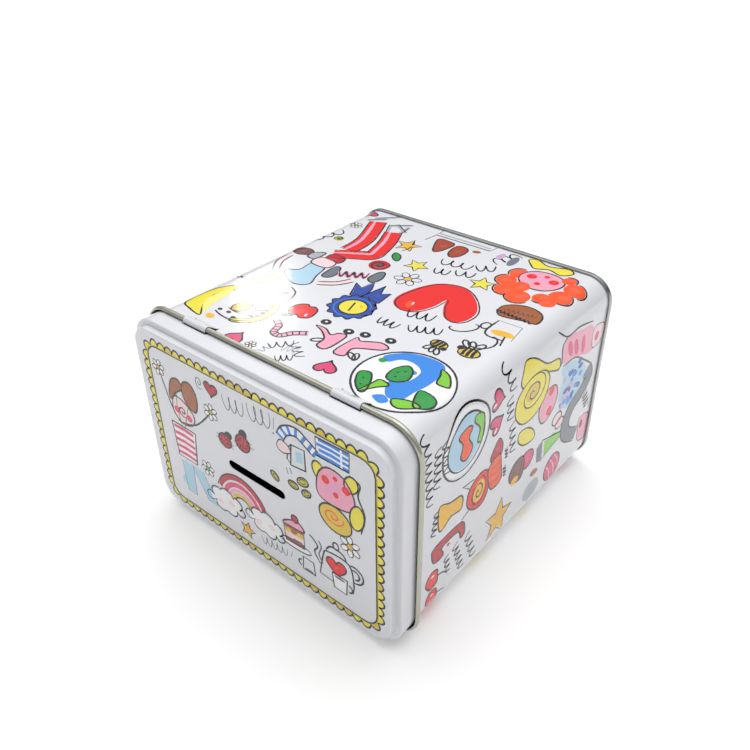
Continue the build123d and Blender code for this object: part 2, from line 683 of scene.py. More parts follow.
@dataclass
class Wall(Pressing):
    """The printed wall, with its two hinge tongues."""

    name: str = "wall_sheet"
    nodes: tuple[str, ...] = ("body_wrap",)
    mouth_gap: float = 0.35
    hook_length: float = 1.7
    groove_drop: float = 26.0
    groove_depth: float = 0.12
    groove_half: float = 0.25

    def build(self) -> bpy.types.Object:
        """Make the wall.

        Returns:
            The finished piece.
        """
        s = self.sizes
        edges = [run for gap in (0.0, s.slit) for pair in s.tongue_edges(gap) for run in pair]
        groove = s.middle + s.half_z - self.groove_drop
        at_groove = -(s.outline.flat_x + s.outline.arc + self.groove_drop - s.corner_radius)
        sides = (-self.groove_half, 0.0, self.groove_half)
        self.extra = (*edges, *(at_groove + side for side in sides))
        mouth = s.ledge_plane + s.sheet + self.mouth_gap
        root = s.bead_plane + s.tongue_root
        turn = s.base_plane - 2 * s.sheet - s.seam_gap - self.hook_radius
        hook = arc_points((self.hook_radius, turn), self.hook_radius, 180, 0, 6)
        self.sweep([(0, mouth), (0, root), *hook, (2 * self.hook_radius, turn - self.hook_length)])
        for vert in self.mesh.verts:
            if abs(vert.co.z - groove) < NEAR and abs(vert.co.x + s.half_x) < NEAR:
                vert.co.x += self.groove_depth
        top = s.middle + s.half_z

        def relieved(place: Vector) -> bool:
            """True in the two strips that are folded out as tongues."""
            folded = place.y < root and place.z > top - NEAR
            return folded and any(low < place.x < high for low, high in s.tongue_edges(s.slit))

        self.remove(relieved)
        for low, high in s.tongue_edges():
            self.fold_tongue(low, high, root, top)
        self.turn_outwards(
            lambda face: face.normal.dot(
                face.calc_center_median() - Vector((0, face.calc_center_median().y, s.middle))
            ) > 0
        )
        return self.finish()

    @property
    def hook_radius(self) -> float:
        """Bend of the seam hook, on the wall's outside face."""
        return self.sizes.sheet / 2 + self.sizes.seam_gap

    def fold_tongue(self, low: float, high: float, root: float, top: float) -> None:
        """Extrude one tongue from the wall and roll it over the lid's bead.

        Args:
            low: Its left edge.
            high: Its right edge.
            root: Where it leaves the wall, along Y.
            top: Height of the wall's outside face.
        """
        s = self.sizes
        inside = s.bead_radius + s.hinge_clearance
        outside = inside + s.sheet
        bend = s.bead_offset
        sine = (bend + outside) / s.tongue_root
        slope = math.degrees(math.asin(sine))
        path = arc_points((root, s.hinge_height), bend, 270, 270 - slope, 6)[1:]
        path += arc_points((s.bead_plane, s.hinge_height), outside, 90 - slope, s.tongue_end, 28)
        edges = [
            edge for edge in self.mesh.edges
            if all(
                abs(v.co.y - root) < NEAR and abs(v.co.z - top) < NEAR
                and low - NEAR < v.co.x < high + NEAR for v in edge.verts
            )
        ]
        before = Vector((0, root, top))
        for y, z in path:
            made = bmesh.ops.extrude_edge_only(self.mesh, edges=edges)["geom"]
            step = Vector((0, y, z)) - before
            verts = [item for item in made if isinstance(item, bmesh.types.BMVert)]
            bmesh.ops.translate(self.mesh, vec=step, verts=verts)
            edges = [
                item for item in made
                if isinstance(item, bmesh.types.BMEdge) and all(v in verts for v in item.verts)
            ]
            before += step


@dataclass
class SideSeam:
    """The wall's locked side seam, flat on the inside of the left wall."""

    sizes: Sizes
    material: bpy.types.Material
    width: float = 5.0
    drop: float = 28.5
    end_gap: float = 2.0
    edge_round: float = 0.12

    def build(self) -> bpy.types.Object:
        """Make the seam's two inner layers.

        Returns:
            The finished piece.
        """
        s = self.sizes
        start = s.ledge_plane + s.sheet + self.end_gap
        end = s.base_plane - s.countersink - self.end_gap
        bm = bmesh.new()
        bmesh.ops.create_cube(bm, size=1.0)
        bmesh.ops.scale(bm, vec=(2 * s.sheet, end - start, self.width), verts=bm.verts)
        bmesh.ops.bevel(
            bm, geom=bm.edges[:], offset=self.edge_round, offset_type="OFFSET", segments=2,
            profile=0.5, affect="EDGES", material=-1,
        )
        place = (-s.half_x + 2 * s.sheet, (start + end) / 2, s.middle + s.half_z - self.drop)
        bmesh.ops.translate(bm, vec=place, verts=bm.verts)
        bmesh.ops.scale(bm, vec=(MM, MM, MM), verts=bm.verts)
        piece = object_from("side_seam", bm)
        piece.data.materials.append(self.material)
        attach(piece, "box")
        LOG.info("side_seam: %d faces", len(piece.data.polygons))
        return piece


@dataclass
class Base(Pressing):
    """The base plate: stepped panel, countersink and double seam."""

    name: str = "base_sheet"
    slot: str = "bare_tin"
    nodes: tuple[str, ...] = ("base_plate",)
    seam_height: float = 2.4
    panel_step: float = 0.8
    panel_inset: float = 9.0
    border_end: float = 1.6
    foot: float = 0.5
    seam_outside: float = 0.98
    seam_inside: float = 0.34
    edge: float = 0.3

    def build(self) -> bpy.types.Object:
        """Make the base plate.

        Returns:
            The finished piece.
        """
        s = self.sizes
        chuck = -2 * s.sheet - s.seam_gap
        panel = s.base_plane - s.countersink
        high = s.base_plane
        raised = panel + self.panel_step
        low = high - self.seam_height
        step = (
            (-1.4, raised), (-0.9, raised), (-0.5, raised - 0.2), (-0.1, panel + 0.15), (0.4, panel),
        )
        profile = [(grow - self.panel_inset, y) for grow, y in step]
        profile += [(chuck - self.border_end, panel)]
        profile += arc_points((chuck - self.foot, panel + self.foot), self.foot, 270, 360, 5)
        for across, along, start, end in (
            (chuck + self.edge, high - self.edge, 180, 90),
            (self.seam_outside - self.edge, high - self.edge, 90, 0),
            (self.seam_outside - self.edge, low + self.edge, 0, -90),
        ):
            profile += arc_points((across, along), self.edge, start, end, 5)
        profile += [(self.seam_inside, low)]
        first = self.sweep(profile)
        bmesh.ops.contextual_create(self.mesh, geom=first)
        bmesh.ops.recalc_face_normals(self.mesh, faces=self.mesh.faces)
        panel_face = max(self.mesh.faces, key=lambda face: face.calc_area())
        if panel_face.normal.y < 0:
            bmesh.ops.reverse_faces(self.mesh, faces=self.mesh.faces)
        return self.finish()


@dataclass
class Lid(Pressing):
    """The stepped lid, with its coin slot, hinge windows and rolled edge."""

    name: str = "lid_sheet"
    body: str = "lid"
    nodes: tuple[str, ...] = ("lid",)
    skirt_edge: float = 0.6
    step_foot: float = 0.4
    step_top: float = 0.6
    flat_rim: float = 0.6
    bead_sweep: float = 270.0
    # Reach and material slot of the painted shade: the dark metal laid on the inside of the rolled curl.
    curl_shade_from: float = 0.35
    curl_shade_slot: int = 3

    def build(self) -> bpy.types.Object:
        """Make the lid.

        Returns:
            The finished piece.
        """
        s = self.sizes
        windows = s.tongue_edges(s.slit)
        self.extra = tuple(run for pair in windows for run in pair)
        step = s.skirt_outside - s.ledge_width
        top, ledge, skirt = s.lid_plane, s.ledge_plane, s.skirt_outside
        reach = s.bead_plane - (
            s.bead_radius + s.hinge_clearance + s.sheet + s.window_end_gap
        )
        profile = [(step - self.step_top - self.flat_rim, top)]
        for across, along, radius, start, end, steps in (
            (step - self.step_top, top + self.step_top, self.step_top, -90, 0, 8),
            (step + self.step_foot, ledge - self.step_foot, self.step_foot, 180, 90, 6),
            (skirt - self.skirt_edge, ledge + self.skirt_edge, self.skirt_edge, -90, 0, 8),
        ):
            profile += arc_points((across, along), radius, start, end, steps)
        profile += [(skirt, reach)]
        roll = (s.bead_offset, s.bead_plane)
        profile += arc_points(roll, s.bead_radius - s.sheet, 180, 180 - self.bead_sweep, 26)
        first = self.sweep(profile)
        self.cut_slot(first, top)

        hinge_side = s.middle + s.half_z + s.skirt_outside

        def window(place: Vector) -> bool:
            """True in the two windows that the tongues pass through."""
            in_skirt = abs(place.z - hinge_side) < NEAR and reach < place.y < s.bead_plane
            return in_skirt and any(low < place.x < high for low, high in windows)

        self.remove(window)
        # Faces of the rolled curl, past the bead's centre or this far outside the wall, take the dark metal
        # on the curl's inside. This is painted shade for the shadowed crevice between the curl and the
        # skirt. Their other side takes the bead lacquer.
        curl_shade_reach = s.bead_offset - s.bead_radius + s.sheet + self.curl_shade_from
        for face in self.mesh.faces:
            place = face.calc_center_median()
            if place.y > s.bead_plane or self.away(place) > curl_shade_reach:
                face.material_index = self.curl_shade_slot
        bmesh.ops.recalc_face_normals(self.mesh, faces=self.mesh.faces)
        flat = [face for face in self.mesh.faces if abs(face.calc_center_median().y - top) < NEAR]
        if sum(face.normal.y for face in flat) > 0:
            bmesh.ops.reverse_faces(self.mesh, faces=self.mesh.faces)
        return self.finish()

    def away(self, place: Vector) -> float:
        """How far a point on the skirt or its curl is outside the wall.

        Args:
            place: The point.

        Returns:
            The distance, in millimetres.
        """
        s = self.sizes
        x = abs(place.x) - s.outline.flat_x
        z = abs(place.z - s.middle) - s.outline.flat_z
        if x > 0 and z > 0:
            return math.hypot(x, z) - s.corner_radius
        return max(x, z) - s.corner_radius

    def cut_slot(self, ring: list[bmesh.types.BMVert], top: float) -> None:
        """Fill the raised top between its edge and the coin slot.

        Args:
            ring: The sheet's first ring of vertices.
            top: Height of the raised top.
        """
        s = self.sizes
        end = s.slot_width / 2
        reach = s.slot_length / 2 - end
        loop = arc_points((reach, s.middle), end, -90, 90, 12)
        loop += arc_points((-reach, s.middle), end, 90, 270, 12)
        verts = [self.mesh.verts.new((x, top, z)) for x, z in loop]
        edges = [self.mesh.edges.new((a, b)) for a, b in zip(verts, verts[1:] + verts[:1])]
        edges += [self.mesh.edges.get((a, b)) for a, b in zip(ring, ring[1:] + ring[:1])]
        bmesh.ops.triangle_fill(self.mesh, use_beauty=True, use_dissolve=False, edges=edges)


# ------------------------------------------------------------------------ print


def smooth(points: Sequence[Point], closed: bool = False, steps: int = 5) -> list[Point]:
    """A smooth line through the points, as a Catmull-Rom spline.

    Args:
        points: Points that the line passes through.
        closed: Whether it returns to its start.
        steps: Pieces between two points.

    Returns:
        The finer line.
    """
    count = len(points)
    line: list[Point] = []
    for k in range(count if closed else count - 1):
        ends = [k + i if not closed else (k + i) % count for i in (-1, 0, 1, 2)]
        a, b, c, d = (Vector(points[min(max(i, 0), count - 1)]) for i in ends)
        for step in range(steps):
            t = step / steps
            place = 0.5 * (
                2 * b + (c - a) * t + (2 * a - 5 * b + 4 * c - d) * t * t
                + (3 * b - a - 3 * c + d) * t ** 3
            )
            line.append((place.x, place.y))
    return line if closed else [*line, tuple(points[-1])]


def oval(
    centre: Point = (0, 0), wide: float = 1.0, tall: float | None = None,
    turn: float = 0.0, steps: int = 26, start: float = 0.0, end: float = 360.0,
) -> list[Point]:
    """Points on an ellipse or on part of it.

    Args:
        centre: Its middle.
        wide: Half its width.
        tall: Half its height, or None for a circle.
        turn: Turn in degrees.
        steps: Points on it.
        start: First angle.
        end: Last angle; a full turn leaves out the repeated point.

    Returns:
        The points.
    """
    tall = wide if tall is None else tall
    c, s = math.cos(math.radians(turn)), math.sin(math.radians(turn))
    points = []
    for k in range(steps + (0 if abs(end - start) >= 360 else 1)):
        angle = math.radians(start + (end - start) * k / steps)
        x, y = wide * math.cos(angle), tall * math.sin(angle)
        points.append((centre[0] + c * x - s * y, centre[1] + s * x + c * y))
    return points


def beside(line: Sequence[Point], gap: float) -> list[Point]:
    """The line moved sideways, to its left, by a gap.

    Args:
        line: The line.
        gap: How far to move it; to its right if negative.

    Returns:
        The moved line.
    """
    moved = []
    for k, point in enumerate(line):
        ahead, behind = line[min(k + 1, len(line) - 1)], line[max(k - 1, 0)]
        along = Vector((ahead[0] - behind[0], ahead[1] - behind[1])).normalized()
        moved.append((point[0] - along.y * gap, point[1] + along.x * gap))
    return moved


def spiral(centre: Point, wide: float, tall: float, turns: float, start: float = 90) -> list[Point]:
    """A spiral from the middle of an ellipse to its edge.

    Args:
        centre: The ellipse's middle.
        wide: Half its width.
        tall: Half its height.
        turns: Turns of the spiral.
        start: Angle at which it starts.

    Returns:
        The points, from the middle outwards.
    """
    steps = int(22 * turns)
    return [
        (
            centre[0] + wide * k / steps * math.cos(math.radians(start) + math.tau * turns * k / steps),
            centre[1] + tall * k / steps * math.sin(math.radians(start) + math.tau * turns * k / steps),
        )
        for k in range(2, steps + 1)
    ]


def coil(start: Point, end: Point, tall: float, loops: int, curl: float = 1.5) -> list[Point]:
    """A decorative looping line between two points.

    Args:
        start: Where it begins.
        end: Where it ends.
        tall: Height of its loops.
        loops: How many loops it has.
        curl: How far each loop goes back on itself; 0 gives a wave.

    Returns:
        The line.
    """
    along = Vector(end) - Vector(start)
    side = Vector((-along.y, along.x)).normalized() * tall / 2
    pace = along.normalized() * curl * along.length / loops / math.tau
    line = []
    for k in range(loops * 12 + 1):
        angle = math.tau * k / 12
        place = Vector(start) + along * k / (loops * 12)
        place += side * math.cos(angle) - pace * math.sin(angle)
        line.append((place.x, place.y))
    return line


@dataclass
class Film:
    """Thin ink films, drawn flat in millimetres and then laid on a sheet.

    Each drawing call lies a little higher than the one before it, until
    rest() starts a new motif back on the sheet.
    """

    name: str
    body: str
    lay: Callable[[float, float, float], Vector]
    shift: Point = (0.0, 0.0)
    cuts: tuple[float, ...] = ()
    first: float = 0.02
    step: float = 0.005
    thick: float = 0.012
    nudge: float = 0.0008
    wash_size: float = 1.6
    wash_shift: float = 0.3
    wash_wide: Point = (0.5, 0.62)
    wash_tall: Point = (0.3, 0.42)
    wash_turn: Point = (20, 70)
    pen: float = 1.3
    wobble: float = 0.1
    end_share: float = 0.15
    sharp_angle: float = 30.0
    mesh: bmesh.types.BMesh = field(default_factory=bmesh.new)
    inks: list[Layer] = field(default_factory=list)

    def __post_init__(self) -> None:
        """Start on the sheet, with a hand of its own."""
        self.hand = random.Random(self.name)
        self.count = 0
        self.rest()

    def rest(
        self, place: Point = (0, 0), size: float = 1.0, turn: float = 0.0, lift: int = 0
    ) -> None:
        """Start a new motif.

        Args:
            place: Its middle on the sheet.
            size: Millimetres for each unit of its drawing.
            turn: Turn in degrees, anticlockwise.
            lift: Films already there that it has to cover.
        """
        self.count += 1
        self.floor = self.first + lift * self.step + self.count % 6 * self.nudge
        self.height = self.floor
        angle = math.radians(turn)
        c, s = size * math.cos(angle), size * math.sin(angle)
        x, y = place[0] + self.shift[0], place[1] + self.shift[1]
        self.frame = Matrix(((c, -s, x), (s, c, y), (0, 0, 1)))

    def level(self, films: int) -> None:
        """Go on at a level that many films above the motif's first one."""
        self.height = self.floor + films * self.step

    def _put(self, points: Iterable[Point]) -> list[Vector]:
        """Points of the motif on the flat sheet."""
        return [(self.frame @ Vector((x, y, 1))).to_2d() for x, y in points]

    def _index(self, layer: Layer) -> int:
        """The material index of an ink, or of its second wash, on this film.

        Args:
            layer: The ink, and whether it is the second wash.

        Returns:
            The index.
        """
        if layer not in self.inks:
            self.inks.append(layer)
        return self.inks.index(layer)

    def fill(self, ink: Ink, points: Sequence[Point]) -> None:
        """Fill a closed outline with one ink.

        Args:
            ink: The ink.
            points: The outline, in the motif's units.
        """
        flat = self._put(points)
        verts = [self.mesh.verts.new((*p, self.height)) for p in flat]
        self.mesh.faces.new(verts).material_index = self._index((ink, False))
        self.height += self.step
        middle = sum(flat, Vector((0, 0))) / len(flat)
        reach = min((p - middle).length for p in flat)
        if reach < self.wash_size or ink in (Ink.WHITE, Ink.LINE):
            return
        aside = (self.hand.uniform(-self.wash_shift, self.wash_shift) for _ in range(2))
        middle += Vector(tuple(aside)) * reach
        patch = oval(
            tuple(middle), reach * self.hand.uniform(*self.wash_wide),
            reach * self.hand.uniform(*self.wash_tall), self.hand.uniform(*self.wash_turn), 18,
        )
        verts = [self.mesh.verts.new((*p, self.height)) for p in patch]
        self.mesh.faces.new(verts).material_index = self._index((ink, True))
        self.height += self.step

    def stroke(
        self, points: Sequence[Point], width: float = PEN, ink: Ink = Ink.LINE,
        taper: float = 0.55,
    ) -> None:
        """Draw a pen line.

        Args:
            points: Its middle line.
            width: Its width in millimetres, whatever the motif's size.
            ink: Its ink.
            taper: Share of the width left at its two ends.
        """
        line = self._put(points)
        width *= self.pen if ink is Ink.LINE and width < 1 else 1.0
        last = len(line) - 1
        before = None
        for k, point in enumerate(line):
            along = line[min(k + 1, last)] - line[max(k - 1, 0)]
            along = along.normalized() if along.length > 1e-6 else Vector((1, 0))
            share = min(1.0, min(k, last - k) / max(1.0, self.end_share * last))
            wide = width / 2 * (taper + (1 - taper) * share)
            wide *= self.hand.uniform(1 - self.wobble, 1 + self.wobble)
            side = Vector((-along.y, along.x)) * wide
            pair = [
                self.mesh.verts.new((*(point + way * side), self.height)) for way in (1, -1)
            ]
            if before:
                face = self.mesh.faces.new((before[0], before[1], pair[1], pair[0]))
                face.material_index = self._index((ink, False))
            before = pair
        self.height += self.step

    def curve(
        self, points: Sequence[Point], width: float = PEN, ink: Ink = Ink.LINE,
        taper: float = 0.55,
    ) -> None:
        """Draw a smooth pen line through the points, as stroke() draws a straight one."""
        self.stroke(smooth(points), width, ink, taper)

    def edge(self, points: Sequence[Point], width: float = PEN, slip: float = 0.3) -> None:
        """Draw round a closed outline, slightly out of register.

        Args:
            points: The outline.
            width: The line's width.
            slip: How far it may be out of register, in millimetres.
        """
        size = self.frame.col[0].length
        x, y = (self.hand.uniform(-slip, slip) / size for _ in range(2))
        self.stroke([(p[0] + x, p[1] + y) for p in [*points, *points[:2]]], width)

    def blob(self, ink: Ink, points: Sequence[Point], width: float = PEN) -> None:
        """Fill a smooth closed outline and draw round it.

        Args:
            ink: The ink inside.
            points: Points that the outline passes through.
            width: The line's width, or 0 for no line.
        """
        line = smooth(points, closed=True, steps=4)
        self.fill(ink, line)
        if width:
            self.edge(line, width)

    def patch(self, ink: Ink, points: Sequence[Point], width: float = PEN) -> None:
        """Draw a blob as a motif of its own, straight on the sheet."""
        self.rest()
        self.blob(ink, points, width)

    def dot(
        self, ink: Ink, centre: Point, wide: float, tall: float | None = None, turn: float = 0,
    ) -> None:
        """Fill an ellipse without a line round it."""
        self.fill(ink, oval(centre, wide, tall, turn, steps=16))

    def ring(
        self, ink: Ink | None, centre: Point, wide: float, tall: float | None = None,
        turn: float = 0,
    ) -> None:
        """Fill an ellipse and draw round it.

        Args:
            ink: The ink inside, or None for the line alone.
            centre: Its middle.
            wide: Half its width.
            tall: Half its height, or None for a circle.
            turn: Turn in degrees.
        """
        line = oval(centre, wide, tall, turn)
        if ink:
            self.fill(ink, line)
        self.edge(line)

    def finish(self, materials: dict[Layer, bpy.types.Material]) -> bpy.types.Object:
        """Lay the films on their sheet.

        Args:
            materials: The material of each ink.

        Returns:
            The finished piece.
        """
        bm = self.mesh
        bmesh.ops.triangulate(bm, faces=bm.faces)
        for cut in self.cuts:
            bmesh.ops.bisect_plane(
                bm, geom=bm.verts[:] + bm.edges[:] + bm.faces[:], dist=1e-5,
                plane_co=(cut, 0, 0), plane_no=(1, 0, 0),
            )
        made = bmesh.ops.extrude_face_region(bm, geom=bm.faces[:])["geom"]
        lifted = [item for item in made if isinstance(item, bmesh.types.BMVert)]
        bmesh.ops.translate(bm, vec=(0, 0, self.thick), verts=lifted)
        for vert in bm.verts:
            vert.co = self.lay(*vert.co) * MM
        bmesh.ops.recalc_face_normals(bm, faces=bm.faces)
        piece = object_from(self.name, bm)
        data = piece.data
        data.shade_smooth()
        data.set_sharp_from_angle(angle=math.radians(self.sharp_angle))
        for ink in self.inks:
            data.materials.append(materials[ink])
        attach(piece, self.body)
        LOG.info("%s: %d faces in %d inks", self.name, len(data.polygons), len(self.inks))
        return piece


# ------------------------------------------------------- motifs, one unit in radius


def star_line(inner: float = 0.45, points: int = 5) -> list[Point]:
    """A star's outline.

    Args:
        inner: Reach of the inner corners; the points reach 1.
        points: Number of points.

    Returns:
        The outline's points.
    """
    return [
        (
            (inner if k % 2 else 1.0) * math.sin(math.pi * k / points),
            (inner if k % 2 else 1.0) * math.cos(math.pi * k / points),
        )
        for k in range(2 * points)
    ]


def heart_line() -> list[Point]:
    """A heart's outline.

    Returns:
        The outline's points.
    """
    line = []
    for k in range(36):
        t = math.tau * k / 36
        tall = 13 * math.cos(t) - 5 * math.cos(2 * t) - 2 * math.cos(3 * t) - math.cos(4 * t)
        line.append((16 * math.sin(t) ** 3 / 17, tall / 17))
    return line


def heart(film: Film, ink: Ink = Ink.RED, spark: Ink | None = None) -> None:
    """A heart, with an optional highlight.

    Args:
        film: The film to draw on.
        ink: Its main ink.
        spark: Ink of a highlight, if any.
    """
    film.fill(ink, heart_line())
    if spark:
        film.dot(spark, (-0.45, 0.3), 0.12, 0.26, 35)
    film.edge(heart_line())


def star(film: Film, ink: Ink = Ink.YELLOW) -> None:
    """A star whose pen line overshoots its points."""
    film.fill(ink, star_line())
    film.edge([(1.12 * x, 1.12 * y) for x, y in star_line()], FINE)


def daisy(film: Film, petal: Ink | None = None, eye: Ink = Ink.AMBER, count: int = 6) -> None:
    """A daisy.

    Args:
        film: The film to draw on.
        petal: Ink of its petals, or None for bare ones.
        eye: Ink of its middle.
        count: Number of petals.
    """
    film.dot(eye, (0, 0), 0.24)
    for k in range(count):
        turn = 360 * k / count + 12
        place = oval((0, 0), 0.63, start=turn, steps=1, end=turn + 1)[0]
        leaf = oval(place, 0.37, 0.27, turn, steps=16)
        if petal:
            film.fill(petal, leaf)
        film.edge(leaf, 0.36, 0.1)


def apple(film: Film, ink: Ink = Ink.RED, leaf: Ink = Ink.GREEN) -> None:
    """An apple with a leaf.

    Args:
        film: The film to draw on.
        ink: Its main ink.
        leaf: Ink of its leaf.
    """
    film.blob(ink, [
        (0, 0.7), (-0.45, 0.88), (-1, 0.4), (-0.8, -0.55), (-0.3, -0.85), (0.05, -0.7),
        (0.4, -0.85), (0.9, -0.4), (1, 0.4), (0.5, 0.88),
    ])
    film.dot(Ink.BLUSH, (-0.6, 0.35), 0.1, 0.2, 20)
    film.stroke([(0.02, 0.7), (0.1, 1.2)])
    film.ring(leaf, (0.4, 1.15), 0.34, 0.17, 25)


def cherry(film: Film, ink: Ink = Ink.RED) -> None:
    """A cherry on its stem.

    Args:
        film: The film to draw on.
        ink: Its main ink.
    """
    film.blob(ink, [(0, 0.8), (-0.8, 0.7), (-1, -0.3), (0, -1), (1, -0.3), (0.8, 0.7)])
    film.dot(Ink.WHITE, (-0.45, 0.1), 0.1, 0.28)
    film.curve([(0, 0.8), (0.3, 1.7), (0.9, 2.4)], FINE)


def bee(film: Film, body: Ink = Ink.GOLD) -> None:
    """A bee with striped body.

    Args:
        film: The film to draw on.
        body: Ink of its body.
    """
    film.ring(body, (0, 0), 1, 0.72)
    for x in (-0.45, 0, 0.45):
        tall = 0.62 * math.sqrt(1 - x * x)
        film.stroke([(x, -tall), (x + 0.05, 0), (x, tall)], 1.45, taper=0.9)
    film.dot(Ink.LINE, (1.0, -0.42), 0.34)
    for x, turn in ((-0.4, 60), (0.25, 110), (0.8, 130)):
        film.ring(None, (x, -1.2), 0.62, 0.3, turn)


def ladybird(film: Film, body: Ink = Ink.RED) -> None:
    """A ladybird.

    Args:
        film: The film to draw on.
        body: Ink of its body.
    """
    film.dot(Ink.LINE, (0.45, 0.85), 0.62, 0.5, 30)
    film.ring(body, (0, -0.1), 0.98, 0.9, 30)
    film.stroke([(0.5, 0.6), (-0.4, -0.8)], FINE)
    for x, y in ((-0.5, 0.2), (-0.1, 0.4), (-0.55, -0.4), (0.5, -0.3), (0.15, -0.6), (0.6, 0.1)):
        film.dot(Ink.LINE, (x, y), 0.12)
    for y in (-0.4, 0.1):
        film.stroke([(-0.9, y), (-1.3, y - 0.1)], 0.3)
        film.stroke([(0.9, y), (1.3, y - 0.2)], 0.3)


def coin(film: Film, ink: Ink = Ink.OLIVE) -> None:
    """A coin seen at a slant."""
    film.ring(ink, (0, 0), 1, 0.66, 20)
    film.stroke(oval((0.05, 0.08), 0.6, 0.34, 20, 14), 0.3)


def cloud(film: Film, ink: Ink | None = None, blush: Ink = Ink.BLUSH) -> None:
    """A cloud with a blush on it.

    Args:
        film: The film to draw on.
        ink: Its main ink.
        blush: Ink of its two spots.
    """
    bumps = [(-0.95, -0.1, 0.3), (-0.5, 0.32, 0.38), (0.1, 0.45, 0.42), (0.65, 0.2, 0.38),
             (0.85, -0.25, 0.3), (0.3, -0.45, 0.34), (-0.35, -0.42, 0.36)]
    line: list[Point] = []
    for x, y, wide in bumps:
        facing = math.degrees(math.atan2(y, x))
        line += reversed(oval((x, y * 0.8), wide, wide * 0.85, 0, 9, facing - 80, facing + 80))
    film.dot(Ink.WHITE, (0, 0), 1.0, 0.62)
    if ink:
        film.fill(ink, line)
    film.dot(blush, (-0.4, -0.15), 0.2, 0.14)
    film.dot(blush, (0.35, 0.05), 0.2, 0.14)
    film.edge(line, FINE)


def swirl(film: Film, ink: Ink = Ink.YELLOW, shade: Ink = Ink.GOLD, turns: float = 2.4) -> None:
    """A spiral sweet.

    Args:
        film: The film to draw on.
        ink: Its main ink.
        shade: Ink of its middle.
        turns: Turns of the spiral.
    """
    film.fill(ink, oval())
    film.dot(shade, (0, 0), 0.42)
    film.stroke(spiral((0, 0), 1.02, 1.02, turns), BROAD)


def ball(film: Film, ink: Ink = Ink.ROSE, stripe: Ink = Ink.BLUSH) -> None:
    """A striped ball.

    Args:
        film: The film to draw on.
        ink: Its main ink.
        stripe: Ink of its stripes.
    """
    film.fill(ink, oval())
    for y in (-0.55, 0, 0.55):
        wide = 0.9 * math.sqrt(1 - y * y)
        film.curve([(-wide, y - 0.1), (0, y + 0.15), (wide, y + 0.05)], 1.1, stripe)
    film.edge(oval())


def leaf(film: Film, ink: Ink = Ink.GREEN) -> None:
    """A leaf with its vein."""
    film.blob(ink, [(-1, 0), (-0.3, 0.42), (0.5, 0.36), (1, 0), (0.4, -0.36), (-0.4, -0.4)])
    film.stroke([(-0.9, 0), (0.7, 0.02)], 0.3)


def cup(film: Film, ink: Ink | None = None) -> None:
    """A cup with its handle.

    Args:
        film: The film to draw on.
        ink: Its main ink.
    """
    body = [(-0.8, 0.8), (0.8, 0.85), (0.7, -0.85), (-0.65, -0.8)]
    if ink:
        film.fill(ink, body)
    film.dot(Ink.SLATE, (0, 0.62), 0.6, 0.14)
    film.edge(body, 0.6)
    film.stroke(oval((0.85, 0.1), 0.5, 0.42, 0, 10, -80, 80), BROAD)


def butterfly(film: Film, ink: Ink = Ink.LILAC, spot: Ink = Ink.ROSE) -> None:
    """A butterfly.

    Args:
        film: The film to draw on.
        ink: Its main ink.
        spot: Ink of the wings' spots.
    """
    for side in (-1, 1):
        film.ring(ink, (side * 0.5, 0.35), 0.5, 0.38, side * 40)
        film.ring(ink, (side * 0.4, -0.4), 0.36, 0.28, -side * 40)
        film.dot(spot, (side * 0.55, 0.4), 0.16)
    film.stroke([(0, -0.7), (0, 0.6)], 0.9)
    for side in (-1, 1):
        film.curve([(0, 0.6), (side * 0.2, 0.95), (side * 0.42, 1.0)], 0.3)


def balloon(film: Film, ink: Ink = Ink.BLUE) -> None:
    """A balloon on a string.

    Args:
        film: The film to draw on.
        ink: Its main ink.
    """
    film.blob(ink, [(0, 1), (-0.75, 0.6), (-0.7, -0.2), (0, -0.75), (0.7, -0.2), (0.75, 0.6)])
    film.dot(Ink.WHITE, (-0.3, 0.4), 0.1, 0.26, -15)
    film.curve([(0, -0.75), (0.2, -1.2), (-0.15, -1.6), (0.1, -2.1)], 0.35)


def cake(film: Film) -> None:
    """A slice of layered cake on a plate.

    Args:
        film: The film to draw on.
    """
    film.ring(Ink.WHITE, (0, -1.0), 1.25, 0.3)
    for low, ink in ((-0.95, Ink.PLUM), (-0.55, Ink.BLUSH), (-0.25, Ink.GOLD), (0.1, Ink.BROWN)):
        film.fill(ink, [(-0.75, low), (0.75, low + 0.06), (0.78, low + 0.36), (-0.78, low + 0.3)])
    film.blob(Ink.PINK, [(-0.85, 0.4), (0.0, 0.36), (0.9, 0.45), (0.55, 0.95), (-0.2, 0.85)])
    film.ring(Ink.CRIMSON, (0.2, 1.12), 0.26)
    film.stroke([(-0.8, 0.55), (-0.74, -0.95), (0.76, -0.92), (0.84, 0.62)], 0.45)


def skate(film: Film, ink: Ink = Ink.PINK) -> None:
    """A roller skate.

    Args:
        film: The film to draw on.
        ink: Its main ink.
    """
    film.blob(ink, [(-0.9, 1.0), (-0.2, 1.05), (-0.1, 0.3), (0.9, 0.1), (1.0, -0.35), (-0.9, -0.4)])
    for y in (0.2, 0.5, 0.8):
        film.stroke([(-0.35, y), (0.05, y + 0.05)], 0.35)
    for x in (-0.6, 0.6):
        film.dot(Ink.LINE, (x, -0.75), 0.3)
        film.dot(Ink.WHITE, (x, -0.75), 0.11)


def mushroom(film: Film, ink: Ink = Ink.RED) -> None:
    """A spotted mushroom.

    Args:
        film: The film to draw on.
        ink: Its main ink.
    """
    film.blob(Ink.WHITE, [(-0.3, 0), (-0.35, -0.9), (0.4, -0.9), (0.3, 0)])
    film.blob(ink, [(-1, -0.05), (-0.6, 0.75), (0.1, 0.95), (0.8, 0.6), (1, 0), (0, 0.1)])
    for x, y in ((-0.4, 0.45), (0.15, 0.6), (0.6, 0.3)):
        film.dot(Ink.WHITE, (x, y), 0.13)


